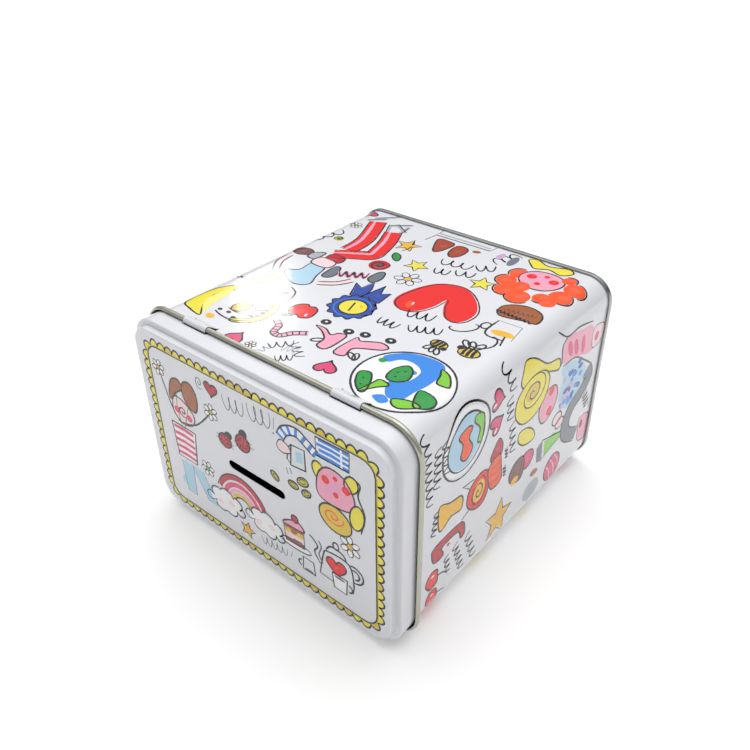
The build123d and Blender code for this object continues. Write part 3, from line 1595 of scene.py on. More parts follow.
def tulip(film: Film, ink: Ink = Ink.ROSE) -> None:
    """A tulip on its stalk.

    Args:
        film: The film to draw on.
        ink: Its main ink.
    """
    film.curve([(0, 0), (0.1, -0.8), (0, -1.7)], 0.7, Ink.GREEN)
    film.blob(Ink.LEAF, [(0.05, -1.5), (0.5, -1.1), (0.75, -0.4), (0.3, -0.8)], 0.35)
    film.blob(ink, [(0, -0.3), (-0.6, 0), (-0.65, 0.8), (-0.25, 0.5), (0, 0.95), (0.3, 0.5),
                    (0.65, 0.8), (0.6, 0)])


# ---------------------------------------------------------------- the printed sheets

Placing = tuple[Callable[..., None], Point, float, float, tuple[Ink, ...]]


def place_all(film: Film, motifs: Sequence[Placing]) -> None:
    """Draw every motif of a list at its place.

    Args:
        film: The film to draw on.
        motifs: Each motif's drawing, place, size, turn and inks.
    """
    for draw, place, size, turn, inks in motifs:
        film.rest(place, size, turn)
        draw(film, *inks)


def scribble(
    film: Film, lines: Iterable[Sequence[Point]], width: float = BROAD, ink: Ink = Ink.LINE
) -> None:
    """Draw loose pen lines, each a motif of its own.

    Args:
        film: The film to draw on.
        lines: The lines.
        width: Their width.
        ink: Their ink.
    """
    for line in lines:
        film.rest()
        film.stroke(line, width, ink)


def band_of(film: Film, line: Sequence[Point], wide: float, ink: Ink, stripe: Ink | None = None) -> None:
    """Draw a wide ribbon with a line along both edges.

    Args:
        film: The film to draw on.
        line: The ribbon's middle.
        wide: Its width.
        ink: Its ink.
        stripe: Ink of a highlight along it, if any.
    """
    film.stroke(line, wide, ink, taper=0.95)
    if stripe:
        film.stroke(beside(line, -wide * 0.2), wide * 0.22, stripe)
    for way in (-1, 1):
        film.stroke(beside(line, way * wide * 0.53))


@dataclass
class LidPrint:
    """The decoration on the lid's raised top."""

    sizes: Sizes
    inks: dict[Layer, bpy.types.Material]
    film: Film = field(init=False)
    half_x: float = 63.6
    half_z: float = 42.6
    aside: float = 0.8
    below: float = 0.5
    corner: float = 6.5
    scallop: float = 4.8

    def build(self) -> None:
        """Draw and lay the lid's decoration."""
        s = self.sizes
        film = self.film = Film(
            "lid_print", "lid", lambda x, z, h: Vector((x, s.lid_plane - h, s.middle + z)),
            shift=(-1.9, -55.1),
        )
        self.border()
        place_all(film, [
            (heart, (-20.5, 90.5), 4.2, -4, (Ink.CRIMSON,)),
            (ladybird, (-15.3, 67.5), 4.0, -10, (Ink.CRIMSON,)),
            (ladybird, (-4, 71.5), 4.6, 20, (Ink.CRIMSON,)),
            (daisy, (-31, 43), 4.4, 0, (Ink.WHITE, Ink.LEAF)),
            (star, (-8.5, 20), 4.4, -12, (Ink.AMBER,)),
            (coin, (14, 63.5), 2.6, -60, ()),
            (coin, (24, 64.7), 2.8, -20, ()),
            (coin, (29.5, 69), 3.2, 4, ()),
            (coin, (31.3, 64), 2.7, 10, ()),
            (cake, (22, 37.5), 7.2, 2, ()),
            (cup, (29.5, 22.5), 4.4, 180, ()),
            (daisy, (53.2, 49.5), 5.4, 20, (Ink.WHITE,)),
        ])
        self.rainbow()
        self.vase()
        self.pink_flower()
        self.scarf()
        self.teapot()
        scribble(film, (
            spiral((-27.5, 91), 2.6, 3.4, 1.6), coil((-13, 88), (-1, 89), 7, 3),
            coil((2, 90), (14, 91), 8, 3, 1.9), coil((1, 20), (17, 22), 4.5, 5, 0.9),
            [(16.5, 94), (15.8, 88)], [(20, 25), (19, 21)],
            smooth([(21, 72), (22, 69)]), smooth([(23, 73), (24, 70)]),
        ), THIN, Ink.SLATE)
        film.rest()
        film.dot(Ink.SLATE, (15.5, 86), 0.5)
        film.finish(self.inks)

    def border(self) -> None:
        """The scalloped yellow border."""
        film = self.film
        edge = Outline(self.half_x, self.half_z, self.corner, 0.0)
        count = round(edge.length / self.scallop)
        pitch = edge.length / count
        film.rest((self.aside - film.shift[0], -self.below - film.shift[1]))
        for k in range(count):
            place = edge.station(k * pitch)
            side = Vector((place.out_z, -place.out_x))
            out = Vector((place.out_x, place.out_z))
            middle = Vector((place.x, place.z))
            deep = film.hand.uniform(3.3, 3.9)
            bow = [
                tuple(middle + side * pitch * 0.54 * c + out * deep * s)
                for c, s in oval(start=0, end=180, steps=9)
            ]
            film.level(k % 2)
            film.fill(Ink.YELLOW if film.hand.random() > 0.3 else Ink.GOLD, bow)
            film.level(3)
            film.stroke(bow, BROAD)
        film.level(5)
        line = [edge.station(edge.length * k / 160) for k in range(162)]
        film.stroke([(s.x + 0.4 * s.out_x, s.z + 0.4 * s.out_z) for s in line], 0.9, Ink.OLIVE)
        film.stroke([(s.x, s.z) for s in line], FINE)

    def rainbow(self) -> None:
        """The rainbow between the clouds."""
        film = self.film
        film.rest((-9.5, 31.5))
        for wide, thick, ink in (
            (15.0, 2.6, Ink.CRIMSON), (11.6, 2.6, Ink.ROSE), (8.8, 1.6, Ink.PINK),
            (6.6, 2.0, Ink.GOLD),
        ):
            film.stroke(oval((0, 0), wide, wide * 1.08, 0, 30, 22, 158), thick, ink, 0.9)
        for wide in (16.6, 5.4):
            film.stroke(oval((0, 0), wide, wide * 1.08, 0, 30, 20, 160))

        film.rest((-21, 29), 10.5, 4, lift=8)
        cloud(film)
        film.rest((4.5, 31), 10, -6, lift=8)
        cloud(film)

    def vase(self) -> None:
        """Brown and pink flowers in a striped vase, on a blue cloth."""
        film = self.film
        film.rest()
        for x, y in ((-55, 86), (-23, 77)):
            film.curve([(-46, 62), ((x - 46) / 2, (y + 62) / 2 - 4), (x, y)])
        for path in ([(-45, 60), (-46, 70), (-45, 78)], [(-43, 60), (-40, 68), (-37, 76)]):
            film.curve(path, THIN, Ink.GREEN)
        film.patch(Ink.BROWN, [(-50, 76), (-47, 84), (-42, 86), (-40, 82), (-45, 78), (-49, 73)])
        film.blob(Ink.BROWN, [(-41, 80), (-39, 86), (-34, 87), (-31, 81), (-33, 73), (-38, 74)])
        film.patch(Ink.BLUSH, [(-49, 72), (-46, 76), (-39, 74), (-35, 69), (-37, 64), (-44, 62), (-49, 66)])
        film.dot(Ink.ROSE, (-46.5, 68.5), 1.9)
        film.dot(Ink.ROSE, (-38.5, 67), 1.9)
        film.stroke(spiral((-42.5, 69), 3.0, 3.0, 1.6), FINE)
        film.rest()
        body = [(-52, 60), (-36, 60), (-38.5, 41), (-51, 41)]
        film.fill(Ink.WHITE, body)
        for k in range(5):
            y = 43 + 3.7 * k
            film.stroke([(-51.2, y), (-45, y + 0.5), (-38, y)], 1.9, Ink.ROSE, 0.9)
        film.edge(body)
        place_all(film, [
            (daisy, (-55, 87), 4.2, 0, (Ink.WHITE,)), (daisy, (-22.5, 78), 4.4, 15, (Ink.WHITE, Ink.OLIVE)),
        ])
        for low, high in (((-50, 38.5), (-49, 20)), ((-43, 38.5), (-34, 22))):
            film.rest()
            film.fill(Ink.SKY, [low, (low[0] + 8, low[1]), (high[0] + 6, high[1]), high])
            film.stroke([low, high, (high[0] + 6, high[1]), (low[0] + 8, low[1])], 0.4, Ink.SLATE)

    def pink_flower(self) -> None:
        """A pink flower with yellow petals and a yellow sweet below it."""
        film = self.film
        film.rest()
        for x, y, wide, tall, turn in (
            (39, 80, 3.2, 4.6, 20), (55, 82, 3.2, 4.2, -25), (57, 67, 3.4, 6.4, -10),
        ):
            film.ring(Ink.YELLOW, (x, y), wide, tall, turn)
        film.curve([(54, 86), (59, 84), (58, 78), (61, 70), (59, 60)])
        film.rest()
        film.height += 3 * film.step
        film.blob(Ink.PINK, [(38, 68), (38, 78), (43, 84), (51, 83), (56, 76), (55, 69), (48, 66.5)])
        for x, y, wide in ((42, 77.5, 2.0), (52.2, 77.5, 2.0), (47, 80.5, 1.2), (47, 72.5, 1.4)):
            film.dot(Ink.RED, (x, y), wide)
        film.fill(Ink.GOLD, oval((46, 59.5), 8.2, 6.2, -12))
        film.edge(oval((46, 59.5), 8.4, 6.6, -12))
        film.stroke(spiral((45, 60.5), 5.6, 4.2, 1.8), 0.7, Ink.ORANGE)

    def scarf(self) -> None:
        """A blue striped scarf and a small parcel."""
        film = self.film
        film.rest()
        line = smooth([(19, 86), (22, 90.5), (28, 92.5), (34, 89.5), (38, 87)])
        film.stroke(line, 4.0, Ink.WHITE, 0.95)
        for k in range(1, len(line) - 1, 3):
            film.level(1)
            film.stroke([beside(line, way)[k] for way in (-1.9, 1.9)], 1.7, Ink.BLUE, 0.9)
        film.level(2)
        for way in (-2.1, 2.1):
            film.stroke(beside(line, way))
        film.rest()
        film.fill(Ink.WHITE, [(38, 87), (54, 87), (54, 96), (38, 96)])
        for k in range(4):
            y = 88 + 2.4 * k
            film.stroke([(38.5 + k % 2, y), (46, y + 0.3), (50, y)], 1.5, Ink.BLUE, 0.9)
            film.stroke([(51, y), (54, y)], 1.5, Ink.BLUE, 0.9)
        film.edge([(38, 87), (54, 87), (54.4, 96), (38, 95.5)], FINE)
        film.rest()
        box = [(24, 75), (32, 76), (32, 86), (25, 85.5)]
        film.fill(Ink.SKY, [(27, 78), (30.5, 78.4), (30.5, 83.5), (27, 83.2)])
        film.edge(box, 0.68)
        film.stroke([(24, 75), (22, 77), (23, 83), (25, 85.5)], FINE)
        film.blob(Ink.BLUSH, [(17, 81), (19, 85), (23, 84), (24.5, 81), (20, 79)], 0.4)

    def teapot(self) -> None:
        """The teapot with a heart, and a cup in front of it."""
        film = self.film
        film.rest()
        film.curve([(36, 23.5), (38.5, 36), (41, 39), (52, 39), (54.5, 30), (54, 23.5)], BROAD)
        film.stroke([(36, 23.5), (43, 23)], BROAD)
        film.curve([(36.5, 29), (33.5, 34), (35.5, 38), (33, 41), (31, 42)], BROAD)
        film.curve([(38, 30), (36, 34), (37.5, 39), (36, 42)], 0.8, Ink.SLATE)
        film.curve([(40, 39.5), (43, 43), (49, 42.5), (51, 39.5)], BROAD)
        film.ring(None, (45.8, 44.5), 1.5, 1.9)
        film.stroke(oval((55, 35), 4.6, 4.4, 0, 14, -100, 130), BROAD)
        film.stroke(oval((55, 35), 2.6, 2.4, 0, 12, -90, 120), BROAD)
        place_all(film, [(heart, (45.3, 33), 5.7, 3, (Ink.RED,))])
        film.rest((47, 24.2), 5.0, lift=6)
        cup(film, Ink.WHITE)


@dataclass
class WallPrint:
    """The decoration round the four walls.

    Drawings run along the wall from the middle of the hinge wall, and along
    the box from the lid's bead.
    """

    sizes: Sizes
    inks: dict[Layer, bpy.types.Material]
    film: Film = field(init=False)
    from_bead: float = 1.7
    from_base: float = 2.6
    rows: int = 7
    first_row: float = 14.0
    row_height: float = 20.0
    column_width: float = 19.0
    stagger: float = 0.22

    def start_film(self, name: str, start: float = 0.0) -> Film:
        """Start on one wall with an empty film.

        Args:
            name: The film's name.
            start: Run at which its drawings start.

        Returns:
            The film.
        """
        edge = self.sizes.outline
        steps = edge.arc / edge.steps
        near = [
            begin + steps * k - edge.length * lap
            for begin in edge.corners() for k in range(edge.steps + 1) for lap in (0, 1)
        ]
        low = self.sizes.bead_plane + self.from_bead
        high = self.sizes.base_plane - self.from_base
        self.film = Film(
            name, "box", lambda run, y, h: edge.facet(run, h, min(max(y, low), high)),
            shift=(start, self.sizes.bead_plane),
            cuts=tuple(sorted(near)),
        )
        return self.film

    def build(self) -> None:
        """Draw and lay all four walls."""
        self.hinge_wall()
        self.right_wall()
        self.plain_wall("front_wall_print", 170.0, 138.0)
        self.plain_wall("left_wall_print", -165.0, 94.0)

    def plain_wall(self, name: str, start: float, wide: float) -> None:
        """Scatter simple motifs over a wall.

        Args:
            name: The film's name.
            start: Run at which the wall's print starts.
            wide: The print's width.
        """
        film = self.start_film(name, start)
        choices: list[tuple[Callable[..., None], tuple[Ink, ...]]] = [
            (heart, (Ink.RED, Ink.BLUSH)), (star, (Ink.YELLOW,)), (daisy, (Ink.WHITE,)),
            (apple, ()), (ball, ()), (swirl, ()), (balloon, (Ink.BLUE,)), (tulip, ()),
            (butterfly, ()), (mushroom, ()), (ladybird, ()), (cake, ()), (cup, (Ink.SKY,)),
            (leaf, (Ink.LEAF,)), (heart, (Ink.ROSE,)), (balloon, (Ink.ORANGE,)), (bee, ()),
            (cloud, ()), (tulip, (Ink.ORANGE,)), (star, (Ink.AMBER,)), (ball, (Ink.BLUE, Ink.SKY)),
            (swirl, (Ink.ORANGE, Ink.RED)), (skate, ()), (daisy, (Ink.PINK, Ink.YELLOW)),
        ]
        film.hand.shuffle(choices)
        columns = round(wide / self.column_width)
        pitch = wide / columns
        for row in range(self.rows):
            for column in range(columns):
                draw, inks = choices[(row * columns + column) % len(choices)]
                x = pitch * (column + 0.5 + (self.stagger if row % 2 else -self.stagger))
                y = self.first_row + self.row_height * row
                film.rest(
                    (x + film.hand.uniform(-1, 1), y + film.hand.uniform(-1.5, 1.5)),
                    film.hand.uniform(6.2, 7.6), film.hand.uniform(-25, 25),
                )
                draw(film, *inks)
                film.rest((x + pitch / 2, y + 9.5))
                tiny = film.hand.choice((Ink.ROSE, Ink.BLUE, Ink.AMBER, Ink.LEAF))
                film.dot(tiny, (0, 0), 0.9)
                film.stroke(coil((1.5, -0.5), (6, 0.66), 1.6, 2, 0.3), FINE)
        film.finish(self.inks)

    def hinge_wall(self) -> None:
        """The wall that carries the hinge."""
        film = self.start_film("hinge_wall_print")
        self.ribbons()
        self.parcels()
        self.shelf()
        self.round_flower()
        self.cap_and_jug()
        self.big_heart()
        self.rosette()
        self.globe()
        self.skates()
        self.lemons()
        place_all(film, [
            (heart, (-64, 139), 4.2, 200, (Ink.ROSE,)),
            (star, (-23, 119), 6.2, 8, (Ink.AMBER,)),
            (star, (-6, 104), 5.6, -14, (Ink.YELLOW,)),
            (star, (28, 107), 5.8, 18, (Ink.YELLOW,)),
            (leaf, (-20, 105), 4.8, -50, (Ink.GREEN,)),
            (swirl, (-20.5, 93), 5.2, 30, (Ink.CRIMSON, Ink.PLUM, 1.8)),
            (daisy, (-1, 90), 6.6, 8, ()),
            (apple, (-18, 38.5), 6.2, 180, (Ink.RED,)),
            (heart, (-24, 5), 4.6, 180, (Ink.ROSE,)),
            (daisy, (-15, 5.2), 2.6, 0, (Ink.WHITE, Ink.OLIVE)),
            (daisy, (-60, 122), 3.4, 0, (Ink.WHITE, Ink.OLIVE)),
            (swirl, (-56, 104), 2.6, 0, (Ink.OLIVE, Ink.GREEN, 1.4)),
            (heart, (20, 12.5), 5.0, 195, (Ink.ROSE,)),
            (bee, (43.5, 53), 3.9, -8, ()),
            (bee, (56.5, 55), 4.6, 188, ()),
        ])
        film.rest()
        film.curve([(-22, 112), (-21, 118), (-24, 125)], FINE)
        scribble(film, (
            coil((0, 115), (15, 118), 6, 3), coil((17, 119), (25, 124), 6, 2, 1.0),
            coil((3, 105), (10, 107), 5.5, 2), coil((12, 109), (21, 112), 5.5, 2, 1.0),
            coil((12, 53), (22, 53), 5, 3, 0.9), coil((26, 55), (39, 61), 5, 4, 1.1),
            coil((18, 65), (30, 68), 6, 3, 1.0), coil((41, 66), (48, 73), 5, 1, 2.2),
            coil((55, 60), (60, 69), 7, 1, 2.0), coil((-66, 96), (-60, 112), 5, 3),
            coil((26, 143), (20, 130), 6, 3),
        ))
        film.rest()
        film.dot(Ink.SLATE, (27, 136), 2.2, 5.5, 4)
        film.dot(Ink.LILAC, (19.5, 137), 1.9, 3.8)
        film.finish(self.inks)

    def ribbons(self) -> None:
        """Two red ribbons with grey bows."""
        film = self.film
        for path in (
            [(-54, 133), (-49, 122), (-45, 112), (-43.5, 104), (-43.5, 96)],
            [(-39, 127), (-34, 116), (-31, 106), (-30, 99), (-36, 95), (-46, 88.5)],
        ):
            film.rest()
            band_of(film, smooth(path), 8.6, Ink.RED, Ink.PINK)
        for line in (
            [(-58, 135), (-50, 143), (-47, 148)], [(-60, 131), (-52, 138)], [(-46, 132), (-36, 140)],
            [(-44, 136), (-34, 130)], [(-41, 124), (-46, 134)], [(-37, 137), (-36, 128)],
        ):
            film.rest()
            film.stroke(smooth(line), 1.5, Ink.GREY)
            film.stroke(beside(smooth(line), 1.0), FINE)

    def parcels(self) -> None:
        """Small parcels under the ribbons, on pink bands and a sky-blue cloth."""
        film = self.film
        film.patch(Ink.CRIMSON, [(-46, 88), (-38, 88), (-37, 82), (-45, 81)])
        film.blob(Ink.BLUSH, [(-48, 82), (-38, 82), (-38, 75), (-48, 75)])
        film.patch(Ink.PLUM, [(-65, 84), (-58, 86), (-54, 82), (-60, 78), (-65, 80)])
        film.blob(Ink.GREY, [(-54, 84), (-49, 87), (-49, 79), (-54, 79)])
        for path in (
            [(-62, 75), (-61, 67), (-56, 59)], [(-20, 73), (-24, 66), (-31, 61)],
        ):
            film.rest()
            band_of(film, smooth(path), 3.0, Ink.BLUSH)
        film.patch(Ink.SKY, [
            (-47, 75), (-39, 75), (-36, 66), (-33, 58), (-39, 54), (-47, 57), (-52, 62), (-47, 66),
        ])
        film.patch(Ink.SLATE, [(-36, 78), (-33, 79), (-30, 73), (-31, 68), (-35, 68)])
        film.blob(Ink.SLATE, [(-16, 87), (-13, 88), (-10.5, 82), (-12, 77), (-16, 79)])
        film.stroke(coil((-30, 74), (-17, 81), 5, 4, 0.2), 2.0, Ink.PINK)
        film.stroke(coil((-30, 74), (-17, 81), 5.5, 4, 0.2), BROAD)

    def shelf(self) -> None:
        """A grey shelf with two rust-brown jars under it."""
        film = self.film
        film.rest()
        film.stroke([(-20, 145), (-20, 138.5), (12, 139), (13, 144)], 0.9, Ink.SLATE)
        film.stroke([(-21, 130), (-20, 138)], BROAD)
        film.stroke([(-20, 141), (11, 141.5)], 2.4, Ink.GREY)
        film.patch(Ink.RUST, [(-16, 135), (-10, 136), (-5.5, 134), (-6.5, 125), (-9, 121.5), (-12, 125)])
        film.patch(Ink.RUST, [(-3.5, 134), (1, 135), (4, 132), (4, 125), (0.5, 121.5), (-3, 126)])
        film.dot(Ink.BROWN, (7.5, 134), 2.2, 1.5, 20)

    def cap_and_jug(self) -> None:
        """A brown cap over an amber jug."""
        film = self.film
        film.patch(Ink.BROWN, [(46, 95), (50, 100), (57, 102), (64, 99), (65, 92), (60, 90), (49, 88)])
        film.stroke(coil((48.5, 93), (63, 96), 2.6, 7, 0.3), THIN, Ink.PLUM)
        film.stroke(coil((46, 91), (64, 90), 1.6, 9, 0.2), BROAD)
        film.rest()
        film.stroke([(52, 84), (63, 84.5), (64.5, 73)], THIN, Ink.SLATE)
        film.curve([(52, 84), (52, 74), (55, 70.5), (62, 71)], BROAD)
        film.dot(Ink.AMBER, (59, 75.5), 5.2, 2.2, 8)
        film.ring(None, (50, 77), 2.0, 2.6)
        film.stroke([(61, 74), (63, 67)], 1.4)

    def round_flower(self) -> None:
        """A pink flower ringed with orange petals, under a yellow bow."""
        film = self.film
        petals = ((36, 127, 4.6), (34.5, 118, 4.8), (39, 110, 5.4), (47, 107, 5.6), (56, 112, 4.2),
                  (62, 118, 5.4), (64, 128, 5.2), (58, 134, 3.4), (60, 110, 3.8), (43, 116, 4.4))
        film.rest()
        for x, y, wide in petals:
            film.dot(Ink.ORANGE, (x, y), wide, wide * 1.05)
            film.height += film.nudge - film.step
        for x, y, wide in petals[:8]:
            away = math.degrees(math.atan2(y - 121, x - 49))
            film.level(3)
            film.stroke(oval((x, y), wide + 0.5, wide + 0.7, 0, 12, away - 75, away + 75))
        film.rest()
        film.height += 5 * film.step
        film.blob(Ink.PINK, [
            (37, 126), (40, 133), (48, 135.5), (56, 133), (58, 126), (54, 119), (47, 117),
            (40, 120),
        ])
        for x, y, wide in ((42, 128, 2.4), (53, 128.5, 2.4), (47.5, 123, 1.5), (48, 131.5, 1.3)):
            film.dot(Ink.RED, (x, y), wide)
        film.patch(Ink.YELLOW, [(32, 143), (36, 145), (43, 142), (52, 145), (56, 142), (52, 137),
                               (45, 139), (39, 136), (35, 139)])

    def big_heart(self) -> None:
        """The large red heart."""
        film = self.film
        line = smooth([
            (24.5, 84.5), (23.5, 76), (20, 68.5), (14, 65.5), (8, 68), (5.5, 75), (8, 87), (13, 95.5),
            (21, 99), (29, 97), (37, 90), (41.5, 82), (41, 74), (37, 70.5), (32, 72), (27, 79),
        ], closed=True)
        film.rest()
        film.fill(Ink.RED, line)
        film.dot(Ink.ORANGE, (14, 71.5), 1.6, 3.0, 25)
        film.dot(Ink.BLUSH, (15, 73), 0.5, 1.5, 25)
        film.edge([(x + 0.9, y + 0.2) for x, y in line], FINE)

    def rosette(self) -> None:
        """The blue rosette."""
        film = self.film
        film.rest((-3.5, 54))
        for tail in (
            [(-8, 8), (-13, 18.5), (-8, 16), (-7, 24), (-3.5, 18), (-1, 8)],
            [(-4, 8), (-1, 24.5), (2, 17), (5.5, 20), (6.5, 10), (3, 7)],
        ):
            film.fill(Ink.NAVY, tail)
            film.edge(tail, slip=0.68)
        ruffle = [
            (r * math.cos(a), r * math.sin(a))
            for k in range(64) for a in (math.tau * k / 64,)
            for r in (10.2 + 0.9 * math.cos(12 * a),)
        ]
        film.fill(Ink.NAVY, ruffle)
        film.edge(ruffle, slip=0.68)
        film.stroke(oval((0, 0), 8.2, start=20, end=340), THIN, Ink.BLUE)
        film.fill(Ink.YELLOW, oval((0, 0), 6.6, 6.3))
        film.edge(oval((0, 0), 6.6, 6.3), 0.68)
        film.stroke([(-1.5, 3.8), (0.8, -3.6)], 1.5)
        film.dot(Ink.AMBER, (3, 2.6), 1.2, 0.7, -40)

    def globe(self) -> None:
        """A globe with blue seas and dotted land."""
        film = self.film
        film.rest((48.3, 23.7), 0.99)
        film.fill(Ink.WHITE, oval((0, 0), 19.6, 19.4))
        film.blob(Ink.BLUE, [(-16.5, 9), (-10, 16.5), (1, 19), (8, 16), (9.5, 5), (8, -4), (7, -11),
                             (1, -12), (-4, -4), (1.5, 0), (2, 8), (-3, 11.5), (-9, 11), (-13, 6)], 0)
        film.blob(Ink.BLUE, [(-3, -15), (2, -17), (4, -14), (0, -12)], 0)
        for ink, shape in (
            (Ink.GREEN, [(-8, 4), (-5, 9), (-1, 7), (1, 1), (-3, -3), (-7, -2)]),
            (Ink.GREEN, [(-17, -6), (-13, -4), (-9, -9), (-7, -15), (-9, -16), (-14, -12)]),
            (Ink.LEAF, [(-9, -16), (-5, -10), (-2, -6), (-7, -5), (-8, -9)]),
            (Ink.GREEN, [(9, -1), (17, -2), (18, -7), (14, -11), (11, -8)]),
            (Ink.LEAF, [(4, -12), (10, -9), (15, -10), (10, -15), (6, -15)]),
            (Ink.LEAF, [(7, 15), (12, 13), (16, 7), (11, 6), (9, 11)]),
        ):
            film.blob(ink, shape)
            film.height += film.nudge - 2 * film.step
        for x, y in ((-5, 3), (-3, 5), (-4, 0), (-13, -8), (-11, -12), (13, -4), (15, -7)):
            film.level(7)
            film.dot(Ink.LINE, (x, y), 0.45)
        film.dot(Ink.GREEN, (-15, 6), 1.7)
        film.height += film.step
        film.edge(oval((0, 0), 20.2, 19.9, steps=48), 0.68, FINE)

    def skates(self) -> None:
        """Pink skates on black wheels, with a braid and loops of cord."""
        film = self.film
        film.patch(Ink.PINK, [
            (-5, 33), (0, 33.5), (5, 31), (7, 34), (11, 34), (11, 22), (6, 21.5), (5, 27), (0, 31),
        ])
        film.patch(Ink.PINK, [
            (15, 36), (18, 35), (25, 39), (30, 38), (29, 35), (22, 31), (19, 28), (20, 22.5),
            (14.5, 22.5),
        ])
        for x, y in ((-3.6, 37.5), (9, 37.5), (16, 39.8), (27, 42.6)):
            film.rest((x, y))
            film.dot(Ink.LINE, (0, 0), 2.5, 2.2)
            film.dot(Ink.WHITE, (0, 0.2), 0.7, 0.6)
        film.rest()
        for x, turn in ((3, 40), (22, 150), (24, 110)):
            film.ring(None, (x, 24.5), 2.6, 1.2, turn)
        line = smooth([(-22, 26), (-17, 23), (-15, 18), (-11, 17.5), (-8, 22), (-3, 26)])
        film.rest()
        film.stroke(line, 2.6, Ink.PINK, 0.9)
        for k in range(2, len(line) - 1, 2):
            film.level(1)
            film.stroke([beside(line, way)[k] for way in (-1.2, 1.2)], 0.5, taper=1)
        for way in (-1.4, 1.4):
            film.stroke(beside(line, way), FINE)
        for line, ink in (
            (coil((-9, 9), (-2, 17), 4, 3, 0.8), Ink.LINE),
            (coil((-2, 17), (7, 11), 4, 3, 0.8), Ink.LINE),
            (coil((-4, 12), (3, 14), 5, 3, 0.4), Ink.GREY),
            (coil((-9, 4), (-8, 10), 3, 2, 0.6), Ink.SLATE),
            (coil((0, 4), (5, 9), 4, 3, 1.0), Ink.LINE),
        ):
            film.rest()
            film.stroke(line, 0.45, ink)

    def lemons(self) -> None:
        """Yellow slices with a pink ribbon and a row of black beads."""
        film = self.film
        film.patch(Ink.YELLOW, [(-57, 52), (-53, 55), (-48, 53), (-50, 47), (-55, 43), (-58, 47)])
        film.patch(Ink.YELLOW, [
            (-57, 38), (-55, 34), (-59, 24), (-55, 14), (-50, 8), (-58, 9), (-64, 12), (-64, 26),
        ])
        film.blob(Ink.LEMON, [(-57, 33), (-54, 28), (-53, 18), (-50, 11), (-55, 14), (-59, 22)], 0)
        film.patch(Ink.YELLOW, [
            (-31, 36), (-27, 33), (-25, 25), (-28, 17), (-35, 13), (-37, 15), (-31, 19), (-29, 26),
        ])
        film.blob(Ink.AMBER, [(-45, 24), (-42, 29), (-38, 28), (-38, 22), (-43, 20)])
        film.blob(Ink.LEMON, [(-36, 30), (-32, 34), (-30, 30), (-34, 26)])
        film.patch(Ink.BLUSH, [(-38, 51), (-33, 49), (-30, 42), (-33, 37), (-37, 38)], 0)
        film.dot(Ink.RED, (-35, 45), 1.6, 1.5)
        film.curve([(-38, 51), (-32, 48), (-29, 40), (-29, 35)], BROAD)
        film.curve([(-48, 15), (-42, 13.5), (-35, 14), (-28, 20)], BROAD)
        film.curve([(-45, 20), (-38, 19.5), (-31, 22), (-28, 28)], FINE)
        for x, y in ((-47, 17), (-42, 17.5), (-37, 15.5), (-32, 21), (-30, 26)):
            film.dot(Ink.LINE, (x, y), 1.2, 1.0)
        film.dot(Ink.AMBER, (-46, 10.5), 2.3, 1.7)

    def right_wall(self) -> None:
        """The wall at the lid's right, read down from the hinge wall."""
        film = self.start_film("right_wall_print", 66.9)
        self.spotted_cloth()
        self.sash_and_bottle()
        self.buns()
        self.plate_and_sweets()
        place_all(film, [
            (ball, (87, 110), 7.6, 20, (Ink.ROSE, Ink.PINK)),
            (star, (84.5, 61), 10.2, 8, (Ink.AMBER,)),
            (heart, (14.5, 51.5), 5.2, 165, (Ink.ROSE, Ink.WHITE)),
            (heart, (27, 52), 5.4, 205, (Ink.ROSE, Ink.WHITE)),
            (cherry, (82, 11.5), 4.6, 0, ()),
            (cherry, (92.5, 11.5), 4.2, 4, ()),
        ])
        scribble(film, (
            coil((3, 59), (16, 63), 5, 3, 1.2), coil((19, 61), (31, 63), 5, 3, 0.8),
            coil((34, 65), (51, 68), 4.5, 4, 0.9), coil((13, 16), (30, 18), 4, 4, 0.3),
            coil((14, 12), (33, 12), 4.5, 5, 1.0), coil((5, 5), (39, 8), 4, 8, 0.9),
            coil((75, 36), (92, 42), 4.5, 4, 1.0), coil((74, 27), (92, 33), 4, 5, 0.7),
            coil((76, 21), (86, 23), 3.5, 3, 0.9), coil((57, 135), (67, 140), 5, 4, 0.6),
        ))
        for x, y, wide in ((48, 62, 2), (58, 62, 2.2)):
            film.rest((x, y))
            film.stroke(coil((-3, 0), (3, 1), wide, 3, 0.2), BROAD)
        film.finish(self.inks)

    def spotted_cloth(self) -> None:
        """A pink sleeve and a sky-blue cloth with dark spots."""
        film = self.film
        film.patch(Ink.PINK, [(13, 106), (15, 122), (18, 132), (32, 136), (28, 118), (24, 104)], 0)
        for x, y, turn in ((22, 117, 22), (24, 124, 10), (20, 111, 25)):
            film.dot(Ink.ROSE, (x, y), 5.2, 1.9, turn)
        film.curve([(7, 100), (12, 107), (12, 118), (15, 131)], 0.6)
        film.curve([(12, 107), (15, 103), (24, 104), (26, 101)], BROAD)
        film.patch(Ink.BLUSH, [(20, 134), (31, 135), (30, 144), (22, 145)], 0.4)
        film.dot(Ink.ROSE, (26, 138), 2.5, 2)
        film.patch(Ink.SKY, [(28, 106), (31, 122), (40, 131), (52, 128), (55, 115), (46, 106), (36, 108)], 0)
        for _ in range(30):
            x, y = film.hand.uniform(32, 52), film.hand.uniform(109, 127)
            ink = film.hand.choice((Ink.NAVY, Ink.BLUE, Ink.LILAC))
            film.height += film.nudge - film.step
            film.dot(ink, (x, y), film.hand.uniform(1.2, 2.6), 1.5, film.hand.uniform(0, 180))
        film.level(3)
        film.curve([(27, 106), (28, 118), (35, 129), (40, 136)], BROAD)

